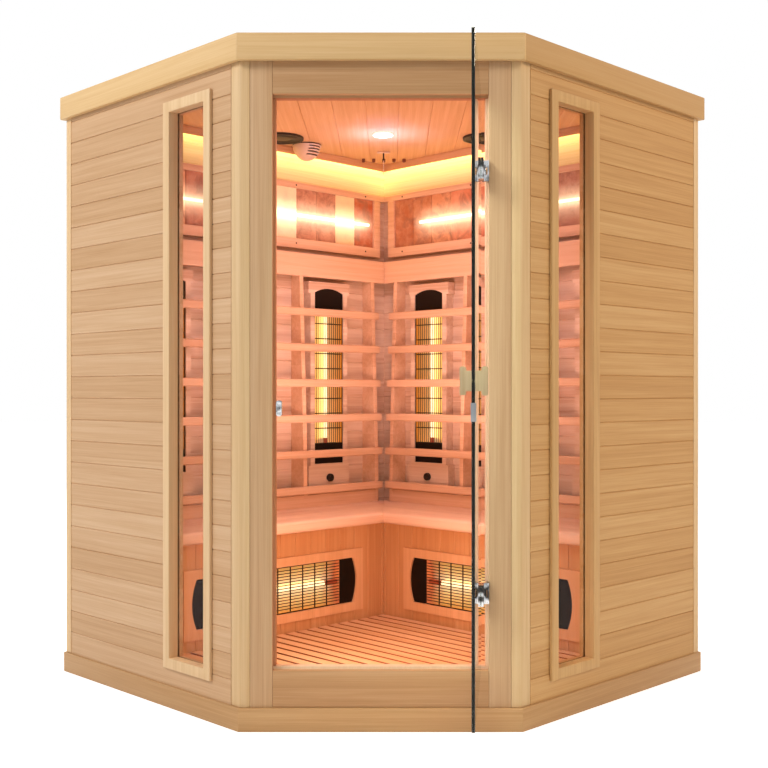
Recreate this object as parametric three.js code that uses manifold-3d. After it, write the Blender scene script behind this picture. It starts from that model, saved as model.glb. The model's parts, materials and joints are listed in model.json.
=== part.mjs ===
// Corner infrared sauna cabin: a square hemlock cabin with one corner cut off for a glass door.
// Millimetres, +Z up, the door faces -Y. The origin is under the middle of the square, on the ground.
import * as THREE from 'three';
import { mergeVertices } from 'three/addons/utils/BufferGeometryUtils.js';
import Module from 'manifold-3d';

const wasm = await Module();
wasm.setup();

// Cabin
const CABIN_SIDE = 1478;
const FRONT_DISTANCE = 661;
const CABIN_HEIGHT = 1900;
const WALL = 42;
const PLANK_PITCH = 70;
const CEILING_PITCH = 110;
const GROOVE_WIDTH = 4;
const GROOVE_DEPTH = 2.5;
const GAP = 0.3;
const EMBED = 1;

// Base and floor
const PLINTH_HEIGHT = 64;
const PLINTH_PROUD = 8;
const PLINTH_BOARD = 18;
const FLOOR_PANEL = 20;
const RUNNER_WIDTH = 60;
const RUNNER_SPACING = 420;
const DUCKBOARD_HEIGHT = 28;
const DUCKBOARD_BEARER = 10;
const DUCKBOARD_PITCH = 49;
const DUCKBOARD_SLOT = 13;
const DUCKBOARD_CLEARANCE = 4;
const BEARER_WIDTH = 45;
const BEARER_SPACING = 700;

// Corner posts and wall ends
const POST_FRONT_FACE = 28;
const POST_SIDE_FACE = 39;
const CORNER_STRIP = 19;

// Roof: the ceiling lies below the top edge of the cornice
const CEILING_DROP = 32;
const ROOF_PANEL = 24;
const CORNICE_HEIGHT = 74;
const CORNICE_BOARD = 16.7;
const CONTROL_BOX = { width: 300, depth: 200, height: 42, sheet: 2, lip: 4, gland: 11, behind: 120 };

// Front frame
const STILE_WIDTH = 61;
const HEAD_RAIL = 131;
const BOTTOM_RAIL = 102;
const STOP_WIDTH = 8;
const STOP_DEPTH = 26;

// Door
const DOOR_GAP = 3;
const GLASS = 8;
const DOOR_OPEN_DEGREES = 84;
const PIVOT_FROM_JAMB = 13;
const PIVOT_IN_FRONT = 3;
const GLASS_BEHIND_PIVOT = 8;
const HINGE_END_DISTANCE = 208;
const HINGE_HEIGHT = 57;
const HINGE_PLATE = 5;
const HINGE_CLEARANCE = 1;
const KNUCKLE_RADIUS = 6;
const KNUCKLE_HEIGHT = 20;
const PIN_RADIUS = 3;
const PIN_CLEARANCE = 0.4;
const CLAMP_LENGTH = 40;
const CLAMP_CHEEK = 7;
const CLAMP_BOLT_RADIUS = 4;
const BOLT_CLEARANCE = 0.5;
const HANDLE_HEIGHT = 950;
const HANDLE_FROM_EDGE = 50;
const HANDLE = { width: 28, neck: 46, neckDepth: 14.5, grip: 66, gripDepth: 13.5, round: 5 };
const HANDLE_STUD = 4;
const HANDLE_BORE = 12;
const STRIKE = { height: 42, reach: 18, sheet: 1.5, side: 2, belowHandle: 70 };
const CATCH = { width: 16, height: 44, depth: 20, magnet: 5, magnetDepth: 3 };

// Windows in the side walls: start from the front corner, sill from the plinth, head from the ceiling
const WINDOW = { start: 156, width: 170, sill: 82, head: 124, trim: 31, proud: 10, liner: 8, set: 22 };
const WINDOW_GLASS = 6;

// Bench
const BENCH_HEIGHT = 480;
const BENCH_DEPTH = 400;
const BENCH_BOARD = 40;
const BENCH_SET_BACK = 60;
const BENCH_PANEL = 18;
const BENCH_NOSE = 10;
const BENCH_PLANK = 98;

// Salt wall and cove light, hung from the ceiling
const SALT = { below: 154, height: 195, tilePitch: 102.5, tile: 14, joint: 3, start: 80, endGap: 40 };
const SALT_FRAME = { depth: 24, foot: 38, head: 22, corner: 34 };
const SALT_LAMP = { radius: 6, height: 90, stand: 6 };
const CROWN = { height: 28, depth: 30, lip: 6 };

// Backrests: slats between the bench and the head board under the salt wall
const UPRIGHT = { first: 116, fromEnd: 135, count: 4, thick: 18, steps: 4 };
const UPRIGHT_DEPTH = { top: 34, shoulder: 50, waist: 58, foot: 76 };
const SLAT = { height: 30, depth: 14, chamfer: 4, count: 6, first: 67, last: 138, inCorner: 96, endGap: 20 };
const FOOT_RAIL_GAP = 4;
const HEADBOARD = { below: 21, height: 88, depth: 18 };

// Heaters: a black steel tray with a curved reflector, a quartz tube and a wire guard
const HEATER = { depth: 36, rim: 4, back: 5, cap: 80, arch: 18, tube: 8, trough: 16, troughSteps: 4 };
const GUARD = { wire: 1.5, longPitch: 13, crossPitch: 59, set: 1, sides: 3 };
const BACK_HEATER = { width: 150, rise: 163, drop: 40, count: 3, fromEnd: 298 };
const FIRST_BACK_HEATER = { left: 344, right: 291 };
const BENCH_HEATER = { width: 162, rise: 175, fromCorner: 150, fromEnd: 182, proud: 6 };
const SURROUND = { stile: 32, shoulder: 10, head: 24, headDrop: 22, foot: 96, footDrop: 6, depth: 40 };
const BENCH_MOULDING = 12;

// Heater dimmer knobs
const KNOB = { radius: 15, height: 14, flute: 1.2, flutes: 7, pointer: 2, aboveFoot: 40 };

// Ceiling fittings, measured from the back corner
const SPEAKER_APART = 756;
const SPEAKER = { fromCorner: 548, radius: 87, body: 74, rim: 9, recess: 3, flange: 8, depth: 18, edge: 4 };
const DOWNLIGHT = { fromCorner: 603, radius: 40, body: 33, rim: 8, recess: 2, flange: 7, depth: 16, edge: 3 };
const VENT = { fromCorner: 163, radius: 6, pitch: 41, count: 5, depth: 12 };
const IONISER = { x: -292, fromCorner: 426, radius: 54, height: 62, wall: 3, rings: 3 };
const SLIT = { count: 4, width: 5, pitch: 10, first: 12.5, half: 27, turn: -45 };
const SENSOR = { fromCorner: 296, width: 75, depth: 20, plate: 6, stem: 3, length: 66 };

// Facets of round pieces and steps of rounded edges
const ROUND = 14;
const PIN_ROUND = 10;
const SMALL_ROUND = 8;
const HEXAGON = 6;
const ARC_STEPS = 4;
const EDGE_STEPS = 2;
const MERGE_DISTANCE = 1e-4;

// Sizes that follow from the above
const HALF_DIAGONAL = CABIN_SIDE / Math.SQRT2;
const FRONT_HALF = HALF_DIAGONAL - FRONT_DISTANCE;
const SIDE_LENGTH = FRONT_DISTANCE * Math.SQRT2;
const INNER_SIDE = CABIN_SIDE - 2 * WALL;
const INNER_CORNER = INNER_SIDE / Math.SQRT2;
const CEILING_HEIGHT = CABIN_HEIGHT - CEILING_DROP;
const WALL_BOTTOM = PLINTH_HEIGHT + GAP;
const WALL_TOP = CEILING_HEIGHT - GAP;
const CORNICE_BOTTOM = CABIN_HEIGHT - CORNICE_HEIGHT;
const FRONT_FACE = -FRONT_DISTANCE;
const FRONT_BACK = FRONT_FACE + WALL;
const STOP_FACE = FRONT_BACK - STOP_DEPTH;
const OPENING_HALF = FRONT_HALF - POST_FRONT_FACE - STILE_WIDTH;
const OPENING_BOTTOM = PLINTH_HEIGHT + BOTTOM_RAIL;
const OPENING_TOP = CEILING_HEIGHT - HEAD_RAIL;
const WINDOW_BOTTOM = PLINTH_HEIGHT + WINDOW.sill;
const WINDOW_TOP = CEILING_HEIGHT - WINDOW.head;
const BENCH_FRONT = BENCH_DEPTH - BENCH_SET_BACK;
const SALT_TOP = CEILING_HEIGHT - SALT.below;
const SALT_BOTTOM = SALT_TOP - SALT.height;
const SALT_END = INNER_SIDE - SALT.endGap;
const HEADBOARD_TOP = SALT_BOTTOM - SALT_FRAME.foot - HEADBOARD.below;
const HEADBOARD_BOTTOM = HEADBOARD_TOP - HEADBOARD.height;
const LOWEST_SLAT = BENCH_HEIGHT + SLAT.first;
const SLAT_PITCH = (HEADBOARD_BOTTOM - SLAT.last - LOWEST_SLAT) / (SLAT.count - 1);
const UPRIGHT_PITCH = (INNER_SIDE - UPRIGHT.first - UPRIGHT.fromEnd) / (UPRIGHT.count - 1);
const BACK_HEATER_BOTTOM = BENCH_HEIGHT + BACK_HEATER.rise;
const BACK_HEATER_TOP = HEADBOARD_BOTTOM - BACK_HEATER.drop;
const BENCH_HEATER_START = BENCH_FRONT + BENCH_HEATER.fromCorner;
const BENCH_HEATER_END = INNER_SIDE - BENCH_HEATER.fromEnd;
const BENCH_HEATER_CENTRE = (BENCH_HEATER_START + BENCH_HEATER_END) / 2;
const BENCH_HEATER_HEIGHT = PLINTH_HEIGHT + BENCH_HEATER.rise;
const STANDING = { length: BACK_HEATER_TOP - BACK_HEATER_BOTTOM, width: BACK_HEATER.width };
const LYING = { length: BENCH_HEATER_END - BENCH_HEATER_START, width: BENCH_HEATER.width, archedStart: true };
const STRIKE_HEIGHT = HANDLE_HEIGHT - STRIKE.belowHandle;
const SIDES = { left: 1, right: -1 };

// Hemlock, glass, steel and the other finishes
function finish(color, roughness, metalness = 0) {
  return () => new THREE.MeshStandardMaterial({ color, roughness, metalness });
}

const hemlock = finish(0xd2a878, 0.6);
const paleHemlock = finish(0xdcbd92, 0.6);
const chrome = finish(0xc8ccd0, 0.15, 1);
const blackSteel = finish(0x1b1512, 0.5, 0.6);
const saltStone = finish(0xd98a62, 0.7);
const blackPlastic = finish(0x1c1a1a, 0.5);
const beigePlastic = finish(0xd9c3a0, 0.5);
const whiteLamp = finish(0xf2f2ff, 0.4);
const greySteel = finish(0x8d8f91, 0.4, 0.8);

function clearGlass() {
  const material = new THREE.MeshStandardMaterial({ color: 0xb9cfc6, roughness: 0.05 });
  material.transparent = true;
  material.opacity = 0.3;
  return material;
}

const cabin = new THREE.Group();

function add(parent, name, geometry, material) {
  const mesh = new THREE.Mesh(geometry, material());
  mesh.name = name;
  parent.add(mesh);
  return mesh;
}

// Booleans
function toSolid(geometry) {
  const bare = geometry.index ? geometry.toNonIndexed() : geometry.clone();
  bare.deleteAttribute('normal');
  bare.deleteAttribute('uv');
  const merged = mergeVertices(bare, MERGE_DISTANCE);
  const vertProperties = new Float32Array(merged.attributes.position.array);
  const triVerts = new Uint32Array(merged.index.array);
  return new wasm.Manifold(new wasm.Mesh({ numProp: 3, vertProperties, triVerts }));
}

function fromSolid(solid) {
  const mesh = solid.getMesh();
  const geometry = new THREE.BufferGeometry();
  geometry.setAttribute('position', new THREE.BufferAttribute(mesh.vertProperties, 3));
  geometry.setIndex(new THREE.BufferAttribute(mesh.triVerts, 1));
  geometry.computeVertexNormals();
  return geometry;
}

function join(...geometries) {
  return fromSolid(geometries.map(toSolid).reduce((sum, next) => sum.add(next)));
}

function cut(geometry, ...tools) {
  return fromSolid(tools.map(toSolid).reduce((rest, tool) => rest.subtract(tool), toSolid(geometry)));
}

function common(a, b) {
  return fromSolid(toSolid(a).intersect(toSolid(b)));
}

// Prisms
function shapeOf(points) {
  return new THREE.Shape(points.map(([a, b]) => new THREE.Vector2(a, b)));
}

function prism(shape, depth, curveSegments = ARC_STEPS) {
  return new THREE.ExtrudeGeometry(shape, { depth, bevelEnabled: false, curveSegments });
}

// A plan outline raised from one height to another
function upright(shape, bottom, top, curveSegments) {
  return prism(shape, top - bottom, curveSegments).translate(0, 0, bottom);
}

// A (y, z) outline run along x
function alongX(shape, from, to, curveSegments) {
  const turn = new THREE.Matrix4().makeBasis(
    new THREE.Vector3(0, 1, 0), new THREE.Vector3(0, 0, 1), new THREE.Vector3(1, 0, 0));
  const start = Math.min(from, to);
  return prism(shape, Math.abs(to - from), curveSegments).applyMatrix4(turn).translate(start, 0, 0);
}

// An (x, z) outline run along y
function alongY(shape, from, to, curveSegments) {
  const turn = new THREE.Matrix4().makeBasis(
    new THREE.Vector3(1, 0, 0), new THREE.Vector3(0, 0, 1), new THREE.Vector3(0, -1, 0));
  return prism(shape, to - from, curveSegments).applyMatrix4(turn).translate(0, to, 0);
}

function block(x0, x1, y0, y1, z0, z1) {
  const low = Math.min(x0, x1);
  const high = Math.max(x0, x1);
  return new THREE.BoxGeometry(high - low, y1 - y0, z1 - z0)
    .translate((low + high) / 2, (y0 + y1) / 2, (z0 + z1) / 2);
}

function rectangle(x0, x1, y0, y1) {
  return shapeOf([[x0, y0], [x1, y0], [x1, y1], [x0, y1]]);
}

function roundedRectangle(x0, x1, y0, y1, radius) {
  const shape = new THREE.Shape();
  shape.moveTo(x0 + radius, y0);
  shape.lineTo(x1 - radius, y0);
  shape.absarc(x1 - radius, y0 + radius, radius, -Math.PI / 2, 0);
  shape.lineTo(x1, y1 - radius);
  shape.absarc(x1 - radius, y1 - radius, radius, 0, Math.PI / 2);
  shape.lineTo(x0 + radius, y1);
  shape.absarc(x0 + radius, y1 - radius, radius, Math.PI / 2, Math.PI);
  shape.lineTo(x0, y0 + radius);
  shape.absarc(x0 + radius, y0 + radius, radius, Math.PI, 1.5 * Math.PI);
  return shape;
}

function rod(radius, from, to, sides = ROUND) {
  const length = to - from;
  return new THREE.CylinderGeometry(radius, radius, length, sides)
    .rotateX(Math.PI / 2)
    .translate(0, 0, from + length / 2);
}

function turned(points, sides = ROUND) {
  const profile = points.map(([r, z]) => new THREE.Vector2(r, z));
  return new THREE.LatheGeometry(profile, sides).rotateX(Math.PI / 2);
}

// Boards laid edge to edge: a strip with V grooves at the joints of its first face, where they are seen
function plankOutline(width, thickness, pitch, isSeen = () => true) {
  const joints = [];
  for (let a = pitch; a < width - GROOVE_WIDTH; a += pitch) {
    if (isSeen(a)) {
      joints.push(a);
    }
  }
  const half = GROOVE_WIDTH / 2;
  const face = joints.flatMap((a) => [[a - half, 0], [a, GROOVE_DEPTH], [a + half, 0]]);
  return [[0, 0], ...face, [width, 0], [width, thickness], [0, thickness]];
}

// The cabin's five-sided plan, grown outwards by a distance
function planPoints(grow) {
  const half = (CABIN_SIDE / 2 + grow) * Math.SQRT2;
  const front = FRONT_DISTANCE + grow;
  return [[front - half, -front], [half - front, -front], [half, 0], [0, half], [-half, 0]];
}

function planRing(outer, inner) {
  const shape = shapeOf(planPoints(outer));
  shape.holes.push(new THREE.Path(planPoints(inner).map(([a, b]) => new THREE.Vector2(a, b))));
  return shape;
}

// Base: plinth boards round a floor panel on three runners
function base() {
  const inside = PLINTH_PROUD - PLINTH_BOARD;
  const boards = upright(planRing(PLINTH_PROUD, inside), 0, PLINTH_HEIGHT);
  const panel = upright(shapeOf(planPoints(inside + EMBED)), PLINTH_HEIGHT - FLOOR_PANEL, PLINTH_HEIGHT);
  const runners = [-RUNNER_SPACING, 0, RUNNER_SPACING].map((y) => {
    const reach = HALF_DIAGONAL - Math.abs(y) - PLINTH_BOARD - RUNNER_WIDTH;
    const half = RUNNER_WIDTH / 2;
    return block(-reach, reach, y - half, y + half, 0, PLINTH_HEIGHT - FLOOR_PANEL + EMBED);
  });
  return join(boards, panel, ...runners);
}

// Duckboard: slats parallel to the right-hand bench, held by bearers across them from their common end
function duckboard() {
  const benchLine = INNER_CORNER - (BENCH_FRONT + BENCH_MOULDING + DUCKBOARD_CLEARANCE) * Math.SQRT2;
  const wallLine = INNER_CORNER - DUCKBOARD_CLEARANCE * Math.SQRT2;
  const front = FRONT_BACK + DUCKBOARD_CLEARANCE;
  const corner = wallLine + front;
  const outer = (wallLine + benchLine) / 2;
  const side = benchLine - outer;
  const outline = shapeOf([[-corner, front], [corner, front], [outer, side], [0, benchLine], [-outer, side]]);
  const half = HALF_DIAGONAL;
  const slots = [];
  for (let a = half - DUCKBOARD_PITCH; a > -half; a -= DUCKBOARD_PITCH) {
    const far = a - DUCKBOARD_SLOT;
    slots.push([a, DUCKBOARD_HEIGHT], [a, DUCKBOARD_BEARER]);
    slots.push([far, DUCKBOARD_BEARER], [far, DUCKBOARD_HEIGHT]);
  }
  const top = [[half, DUCKBOARD_HEIGHT], ...slots, [-half, DUCKBOARD_HEIGHT]];
  const sheet = alongX(shapeOf([[-half, 0], [half, 0], ...top]), -half, half)
    .rotateZ(-Math.PI / 4)
    .translate(0, 0, WALL_BOTTOM);
  const slatStart = -benchLine / Math.SQRT2;
  const relief = [];
  for (let a = slatStart; a < half; a += BEARER_SPACING) {
    relief.push(block(a + BEARER_WIDTH, a + BEARER_SPACING, -half, half, -EMBED, DUCKBOARD_BEARER + EMBED)
      .rotateZ(-Math.PI / 4)
      .translate(0, 0, WALL_BOTTOM));
  }
  return cut(common(sheet, upright(outline, WALL_BOTTOM, WALL_BOTTOM + DUCKBOARD_HEIGHT)), ...relief);
}

add(cabin, 'base', base(), paleHemlock);
add(cabin, 'duckboard', duckboard(), hemlock);

// A turned group for a pair of walls: x runs along the wall, away from the corner on the left-hand side
// and towards it on the right-hand side
function turnedGroup(x, y, degrees) {
  const group = new THREE.Group();
  group.position.set(x, y, 0);
  group.rotation.z = THREE.MathUtils.degToRad(degrees);
  cabin.add(group);
  return group;
}

// Back walls: y points into the cabin. Side walls: y points out of it.
const backGroup = {
  left: turnedGroup(0, INNER_CORNER, 225),
  right: turnedGroup(0, INNER_CORNER, 135),
};
const sideGroup = {
  left: turnedGroup(-FRONT_HALF, FRONT_FACE, 135),
  right: turnedGroup(FRONT_HALF, FRONT_FACE, 225),
};

function heaterPlaces(side) {
  const first = FIRST_BACK_HEATER[side];
  const pitch = (INNER_SIDE - BACK_HEATER.fromEnd - first) / (BACK_HEATER.count - 1);
  return Array.from({ length: BACK_HEATER.count }, (_, i) => first + i * pitch);
}

// A heater's outline, lying along its own length from 0, arched at the far end and, if asked, at the near one
function heaterOutline({ length, width, archedStart = false }, grow = 0) {
  const half = width / 2 + grow;
  const radius = (half * half + HEATER.arch * HEATER.arch) / (2 * HEATER.arch);
  const sweep = Math.asin(half / radius);
  const shape = new THREE.Shape();
  if (archedStart) {
    shape.absarc(0, radius - grow, radius, -Math.PI / 2 - sweep, -Math.PI / 2 + sweep, false);
  } else {
    shape.moveTo(-half, -grow);
    shape.lineTo(half, -grow);
  }
  shape.absarc(0, length + grow - radius, radius, Math.PI / 2 - sweep, Math.PI / 2 + sweep, false);
  return shape;
}

// Places at about the given pitch that divide a span evenly, without its ends
function between(from, to, pitch) {
  const spaces = Math.round((to - from) / pitch);
  return Array.from({ length: spaces - 1 }, (_, i) => from + ((to - from) * (i + 1)) / spaces);
}

// A heater standing on z = 0 with its back at y = 0: the trough of its tray is a parabolic reflector behind
// the tube, and a guard of crossed wires closes the front
function heater(spec) {
  const tray = alongY(heaterOutline(spec), 0, HEATER.depth);
  const inner = spec.width / 2 - HEATER.rim;
  const low = HEATER.cap;
  const high = spec.length - HEATER.cap;
  const trough = [];
  for (let i = 0; i <= HEATER.troughSteps; i += 1) {
    const across = (2 * i) / HEATER.troughSteps - 1;
    trough.push([across * inner, HEATER.back + HEATER.trough * across * across]);
  }
  const mouth = HEATER.depth + EMBED;
  const pocket = upright(shapeOf([...trough, [inner, mouth], [-inner, mouth]]), low, high);
  const front = HEATER.depth - GUARD.set - GUARD.wire;
  const behind = front - 2 * GUARD.wire - GAP;
  const tube = rod(HEATER.tube, low - EMBED, high + EMBED, HEXAGON)
    .translate(0, (HEATER.back + behind) / 2, 0);
  const longWires = between(-inner, inner, GUARD.longPitch).map((x) =>
    rod(GUARD.wire, low - EMBED, high + EMBED, GUARD.sides).translate(x, front, 0));
  const crossWires = between(low, high, GUARD.crossPitch).map((z) =>
    rod(GUARD.wire, -inner - EMBED, inner + EMBED, GUARD.sides).rotateY(Math.PI / 2).translate(0, behind, z));
  return join(cut(tray, pocket), tube, ...longWires, ...crossWires);
}

// The wooden surround of a back heater: its arched head board and its foot board are wider than its stiles
function surround() {
  const wide = BACK_HEATER.width / 2 + SURROUND.stile;
  const narrow = wide - SURROUND.shoulder;
  const footTop = BACK_HEATER_BOTTOM - SURROUND.footDrop;
  const headBottom = BACK_HEATER_TOP - SURROUND.headDrop;
  const edge = [
    [wide, BACK_HEATER_BOTTOM - SURROUND.foot], [wide, footTop], [narrow, footTop],
    [narrow, headBottom], [wide, headBottom], [wide, BACK_HEATER_TOP + SURROUND.head],
  ];
  const mirrored = edge.map(([x, z]) => [-x, z]).reverse();
  const frame = alongY(shapeOf([...edge, ...mirrored]), -GROOVE_DEPTH - EMBED, SURROUND.depth);
  const niche = alongY(heaterOutline(STANDING, GAP), 0, SURROUND.depth + EMBED)
    .translate(0, 0, BACK_HEATER_BOTTOM);
  return cut(frame, niche);
}

// The boards of a wall lie between y = -WALL and y = 0 and show their joints at y = 0
function wallProfile(isSeen) {
  const outline = plankOutline(WALL_TOP - WALL_BOTTOM, WALL, PLANK_PITCH, isSeen);
  return shapeOf(outline.map(([a, b]) => [-b, a + WALL_BOTTOM]));
}

// The lining of a back wall shows between the bench and the head board, and above the salt frame
function liningIsSeen(rise) {
  const z = rise + WALL_BOTTOM;
  const behindSalt = z > HEADBOARD_BOTTOM && z < SALT_TOP + SALT_FRAME.head;
  return z > BENCH_HEIGHT && !behindSalt;
}

// The outside of a side wall shows up to the cornice
function claddingIsSeen(rise) {
  return rise + WALL_BOTTOM < CORNICE_BOTTOM;
}

// Back wall: planks run along it, a thin strip at its far end covers the end of the side wall
function backWall(side) {
  const sign = SIDES[side];
  const start = side === 'left' ? -WALL : GAP;
  const end = INNER_SIDE + WALL;
  const panel = alongX(wallProfile(liningIsSeen), sign * start, sign * end);
  const notch = block(sign * (INNER_SIDE - GAP), sign * (end + EMBED), CORNER_STRIP - WALL, EMBED,
    0, CABIN_HEIGHT);
  const surrounds = heaterPlaces(side).map((s) => surround().translate(sign * s, 0, 0));
  return join(cut(panel, notch), ...surrounds);
}

function windowOpening(sign, grow, from, to) {
  const near = sign * (WINDOW.start - grow);
  const far = sign * (WINDOW.start + WINDOW.width + grow);
  return block(near, far, from, to, WINDOW_BOTTOM - grow, WINDOW_TOP + grow);
}

// Side wall: a stepped opening, whose lip holds the window pane from inside
function sideWall(side) {
  const sign = SIDES[side];
  const start = sign * (POST_SIDE_FACE + GAP);
  const end = sign * (SIDE_LENGTH - CORNER_STRIP - GAP);
  const seat = -WINDOW.set - WINDOW_GLASS - 2 * GAP;
  return cut(
    alongX(wallProfile(claddingIsSeen), start, end),
    windowOpening(sign, 0, -WALL - EMBED, EMBED),
    windowOpening(sign, WINDOW.liner + GAP, seat, EMBED),
  );
}

// Window frame: a proud trim with a liner that reaches in to the pane
function windowFrame(side) {
  const sign = SIDES[side];
  const trim = windowOpening(sign, WINDOW.trim, GAP, WINDOW.proud);
  const liner = windowOpening(sign, WINDOW.liner, -WINDOW.set, GAP + EMBED);
  return cut(join(trim, liner), windowOpening(sign, 0, -WALL, WINDOW.proud + EMBED));
}

function windowPane(side) {
  const back = -WINDOW.set - GAP - WINDOW_GLASS;
  return windowOpening(SIDES[side], WINDOW.liner, back, back + WINDOW_GLASS);
}

// Front corner post: fills the 135 degree corner between the door frame and the side wall
function cornerPost(side) {
  const sign = SIDES[side];
  const slope = Math.SQRT1_2;
  const mitre = FRONT_HALF - WALL * Math.tan(Math.PI / 8);
  const far = [FRONT_HALF + POST_SIDE_FACE * slope, FRONT_FACE + POST_SIDE_FACE * slope];
  const points = [
    [FRONT_HALF, FRONT_FACE],
    [FRONT_HALF - POST_FRONT_FACE, FRONT_FACE],
    [FRONT_HALF - POST_FRONT_FACE, FRONT_BACK],
    [mitre, FRONT_BACK],
    [far[0] - WALL * slope, far[1] + WALL * slope],
    far,
  ];
  const outline = shapeOf(points.map(([x, y]) => [-sign * x, y]));
  return upright(outline, WALL_BOTTOM, WALL_TOP);
}

for (const side of Object.keys(SIDES)) {
  add(backGroup[side], `wall_back_${side}`, backWall(side), hemlock);
  add(sideGroup[side], `wall_side_${side}`, sideWall(side), hemlock);
  add(sideGroup[side], `window_frame_${side}`, windowFrame(side), paleHemlock);
  add(sideGroup[side], `window_pane_${side}`, windowPane(side), clearGlass);
  add(cabin, `corner_post_${side}`, cornerPost(side), paleHemlock);
}

// Door frame: two full-height stiles with a head rail and a bottom rail between them, and a stop all round
function frontStile(side) {
  const sign = -SIDES[side];
  const outer = sign * (FRONT_HALF - POST_FRONT_FACE - GAP);
  const board = block(sign * OPENING_HALF, outer, FRONT_FACE, FRONT_BACK, WALL_BOTTOM, WALL_TOP);
  const stopBottom = OPENING_BOTTOM + STOP_WIDTH + GAP;
  const stopTop = OPENING_TOP - STOP_WIDTH - GAP;
  const stop = block(sign * (OPENING_HALF - STOP_WIDTH), sign * (OPENING_HALF + EMBED),
    STOP_FACE, FRONT_BACK, stopBottom, stopTop);
  return join(board, stop);
}

function frontRail(bottom, top, stopBottom, stopTop) {
  const reach = OPENING_HALF - GAP;
  return join(
    block(-reach, reach, FRONT_FACE, FRONT_BACK, bottom, top),
    block(-reach, reach, STOP_FACE, FRONT_BACK, stopBottom, stopTop),
  );
}

const headRail = frontRail(OPENING_TOP, WALL_TOP, OPENING_TOP - STOP_WIDTH, OPENING_TOP + EMBED);
const sillRail = frontRail(WALL_BOTTOM, OPENING_BOTTOM, OPENING_BOTTOM - EMBED, OPENING_BOTTOM + STOP_WIDTH);
add(cabin, 'front_stile_left', frontStile('left'), paleHemlock);
add(cabin, 'front_stile_right', frontStile('right'), paleHemlock);
add(cabin, 'front_head_rail', headRail, paleHemlock);
add(cabin, 'front_bottom_rail', sillRail, paleHemlock);

// Roof panel: ceiling boards run from front to back, with holes for the fittings
function roofPanel() {
  const half = HALF_DIAGONAL;
  const boards = plankOutline(2 * half, ROOF_PANEL, CEILING_PITCH);
  const slab = alongY(shapeOf(boards.map(([a, b]) => [a - half, b + CEILING_HEIGHT])), -half, half);
  const plan = shapeOf(planPoints(0));
  const outline = upright(plan, CEILING_HEIGHT - EMBED, CEILING_HEIGHT + ROOF_PANEL + EMBED);
  const hole = (spec, x) => rod(spec.body + GAP, -EMBED, spec.depth + GAP)
    .translate(x, INNER_CORNER - spec.fromCorner, CEILING_HEIGHT);
  const holes = [hole(DOWNLIGHT, 0), hole(SPEAKER, -SPEAKER_APART / 2), hole(SPEAKER, SPEAKER_APART / 2)];
  for (let i = 0; i < VENT.count; i += 1) {
    const x = (i - (VENT.count - 1) / 2) * VENT.pitch;
    holes.push(rod(VENT.radius, -EMBED, VENT.depth, SMALL_ROUND)
      .translate(x, INNER_CORNER - VENT.fromCorner, CEILING_HEIGHT));
  }
  return cut(common(slab, outline), ...holes);
}

// Control box on the roof: a shallow steel case with a cable gland at its back
function controlBox() {
  const { width, depth, height, sheet, lip, gland, behind } = CONTROL_BOX;
  const bottom = CEILING_HEIGHT + ROOF_PANEL + GAP;
  const half = width / 2;
  const back = behind + depth;
  const top = bottom + height;
  const body = upright(rectangle(-half, half, behind, back), bottom, top);
  const lidOutline = roundedRectangle(-half - lip, half + lip, behind - lip, back + lip, lip);
  const lid = upright(lidOutline, top - EMBED, top + sheet, EDGE_STEPS);
  const nut = rod(gland, -EMBED, gland, HEXAGON)
    .rotateX(-Math.PI / 2)
    .translate(0, back, bottom + height / 2);
  return join(body, lid, nut);
}

add(cabin, 'roof_panel', roofPanel(), hemlock);
add(cabin, 'cornice', upright(planRing(CORNICE_BOARD + GAP, GAP), CORNICE_BOTTOM, CABIN_HEIGHT), paleHemlock);
add(cabin, 'control_box', controlBox(), greySteel);

// Door, drawn closed round its pivot and then turned open: x runs to the right-hand jamb, y into the cabin
const PIVOT = [OPENING_HALF - PIVOT_FROM_JAMB, FRONT_FACE - PIVOT_IN_FRONT];
const GLASS_BOTTOM = OPENING_BOTTOM + DOOR_GAP;
const GLASS_TOP = OPENING_TOP - DOOR_GAP;
const GLASS_HINGE_EDGE = PIVOT_FROM_JAMB - HINGE_PLATE - HINGE_CLEARANCE;
const GLASS_FREE_EDGE = -(PIVOT[0] + OPENING_HALF - DOOR_GAP);
const GLASS_BACK = GLASS_BEHIND_PIVOT + GLASS;
const HINGE_HEIGHTS = { upper: GLASS_TOP - HINGE_END_DISTANCE, lower: GLASS_BOTTOM + HINGE_END_DISTANCE };
const HANDLE_X = GLASS_FREE_EDGE + HANDLE_FROM_EDGE;
const CLAMP_START = -(KNUCKLE_RADIUS + HINGE_CLEARANCE);
const CLAMP_BOLT_X = CLAMP_START - CLAMP_LENGTH / 2;
const CLAMP_BOLT_RISE = HINGE_HEIGHT / 4;

const door = new THREE.Group();
door.position.set(PIVOT[0], PIVOT[1], 0);
door.rotation.z = THREE.MathUtils.degToRad(DOOR_OPEN_DEGREES);
cabin.add(door);

// A rod that points into the cabin
function crossRod(radius, from, to, x, z, sides = SMALL_ROUND) {
  return rod(radius, from, to, sides).rotateX(-Math.PI / 2).translate(x, 0, z);
}

function doorGlass() {
  const sheet = block(
    GLASS_FREE_EDGE, GLASS_HINGE_EDGE, GLASS_BEHIND_PIVOT, GLASS_BACK, GLASS_BOTTOM, GLASS_TOP);
  const from = GLASS_BEHIND_PIVOT - EMBED;
  const to = GLASS_BACK + EMBED;
  const holes = [crossRod(HANDLE_STUD + BOLT_CLEARANCE, from, to, HANDLE_X, HANDLE_HEIGHT)];
  for (const z of Object.values(HINGE_HEIGHTS)) {
    for (const rise of [-CLAMP_BOLT_RISE, CLAMP_BOLT_RISE]) {
      holes.push(crossRod(CLAMP_BOLT_RADIUS + BOLT_CLEARANCE, from, to, CLAMP_BOLT_X, z + rise));
    }
  }
  return cut(sheet, ...holes);
}

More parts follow.
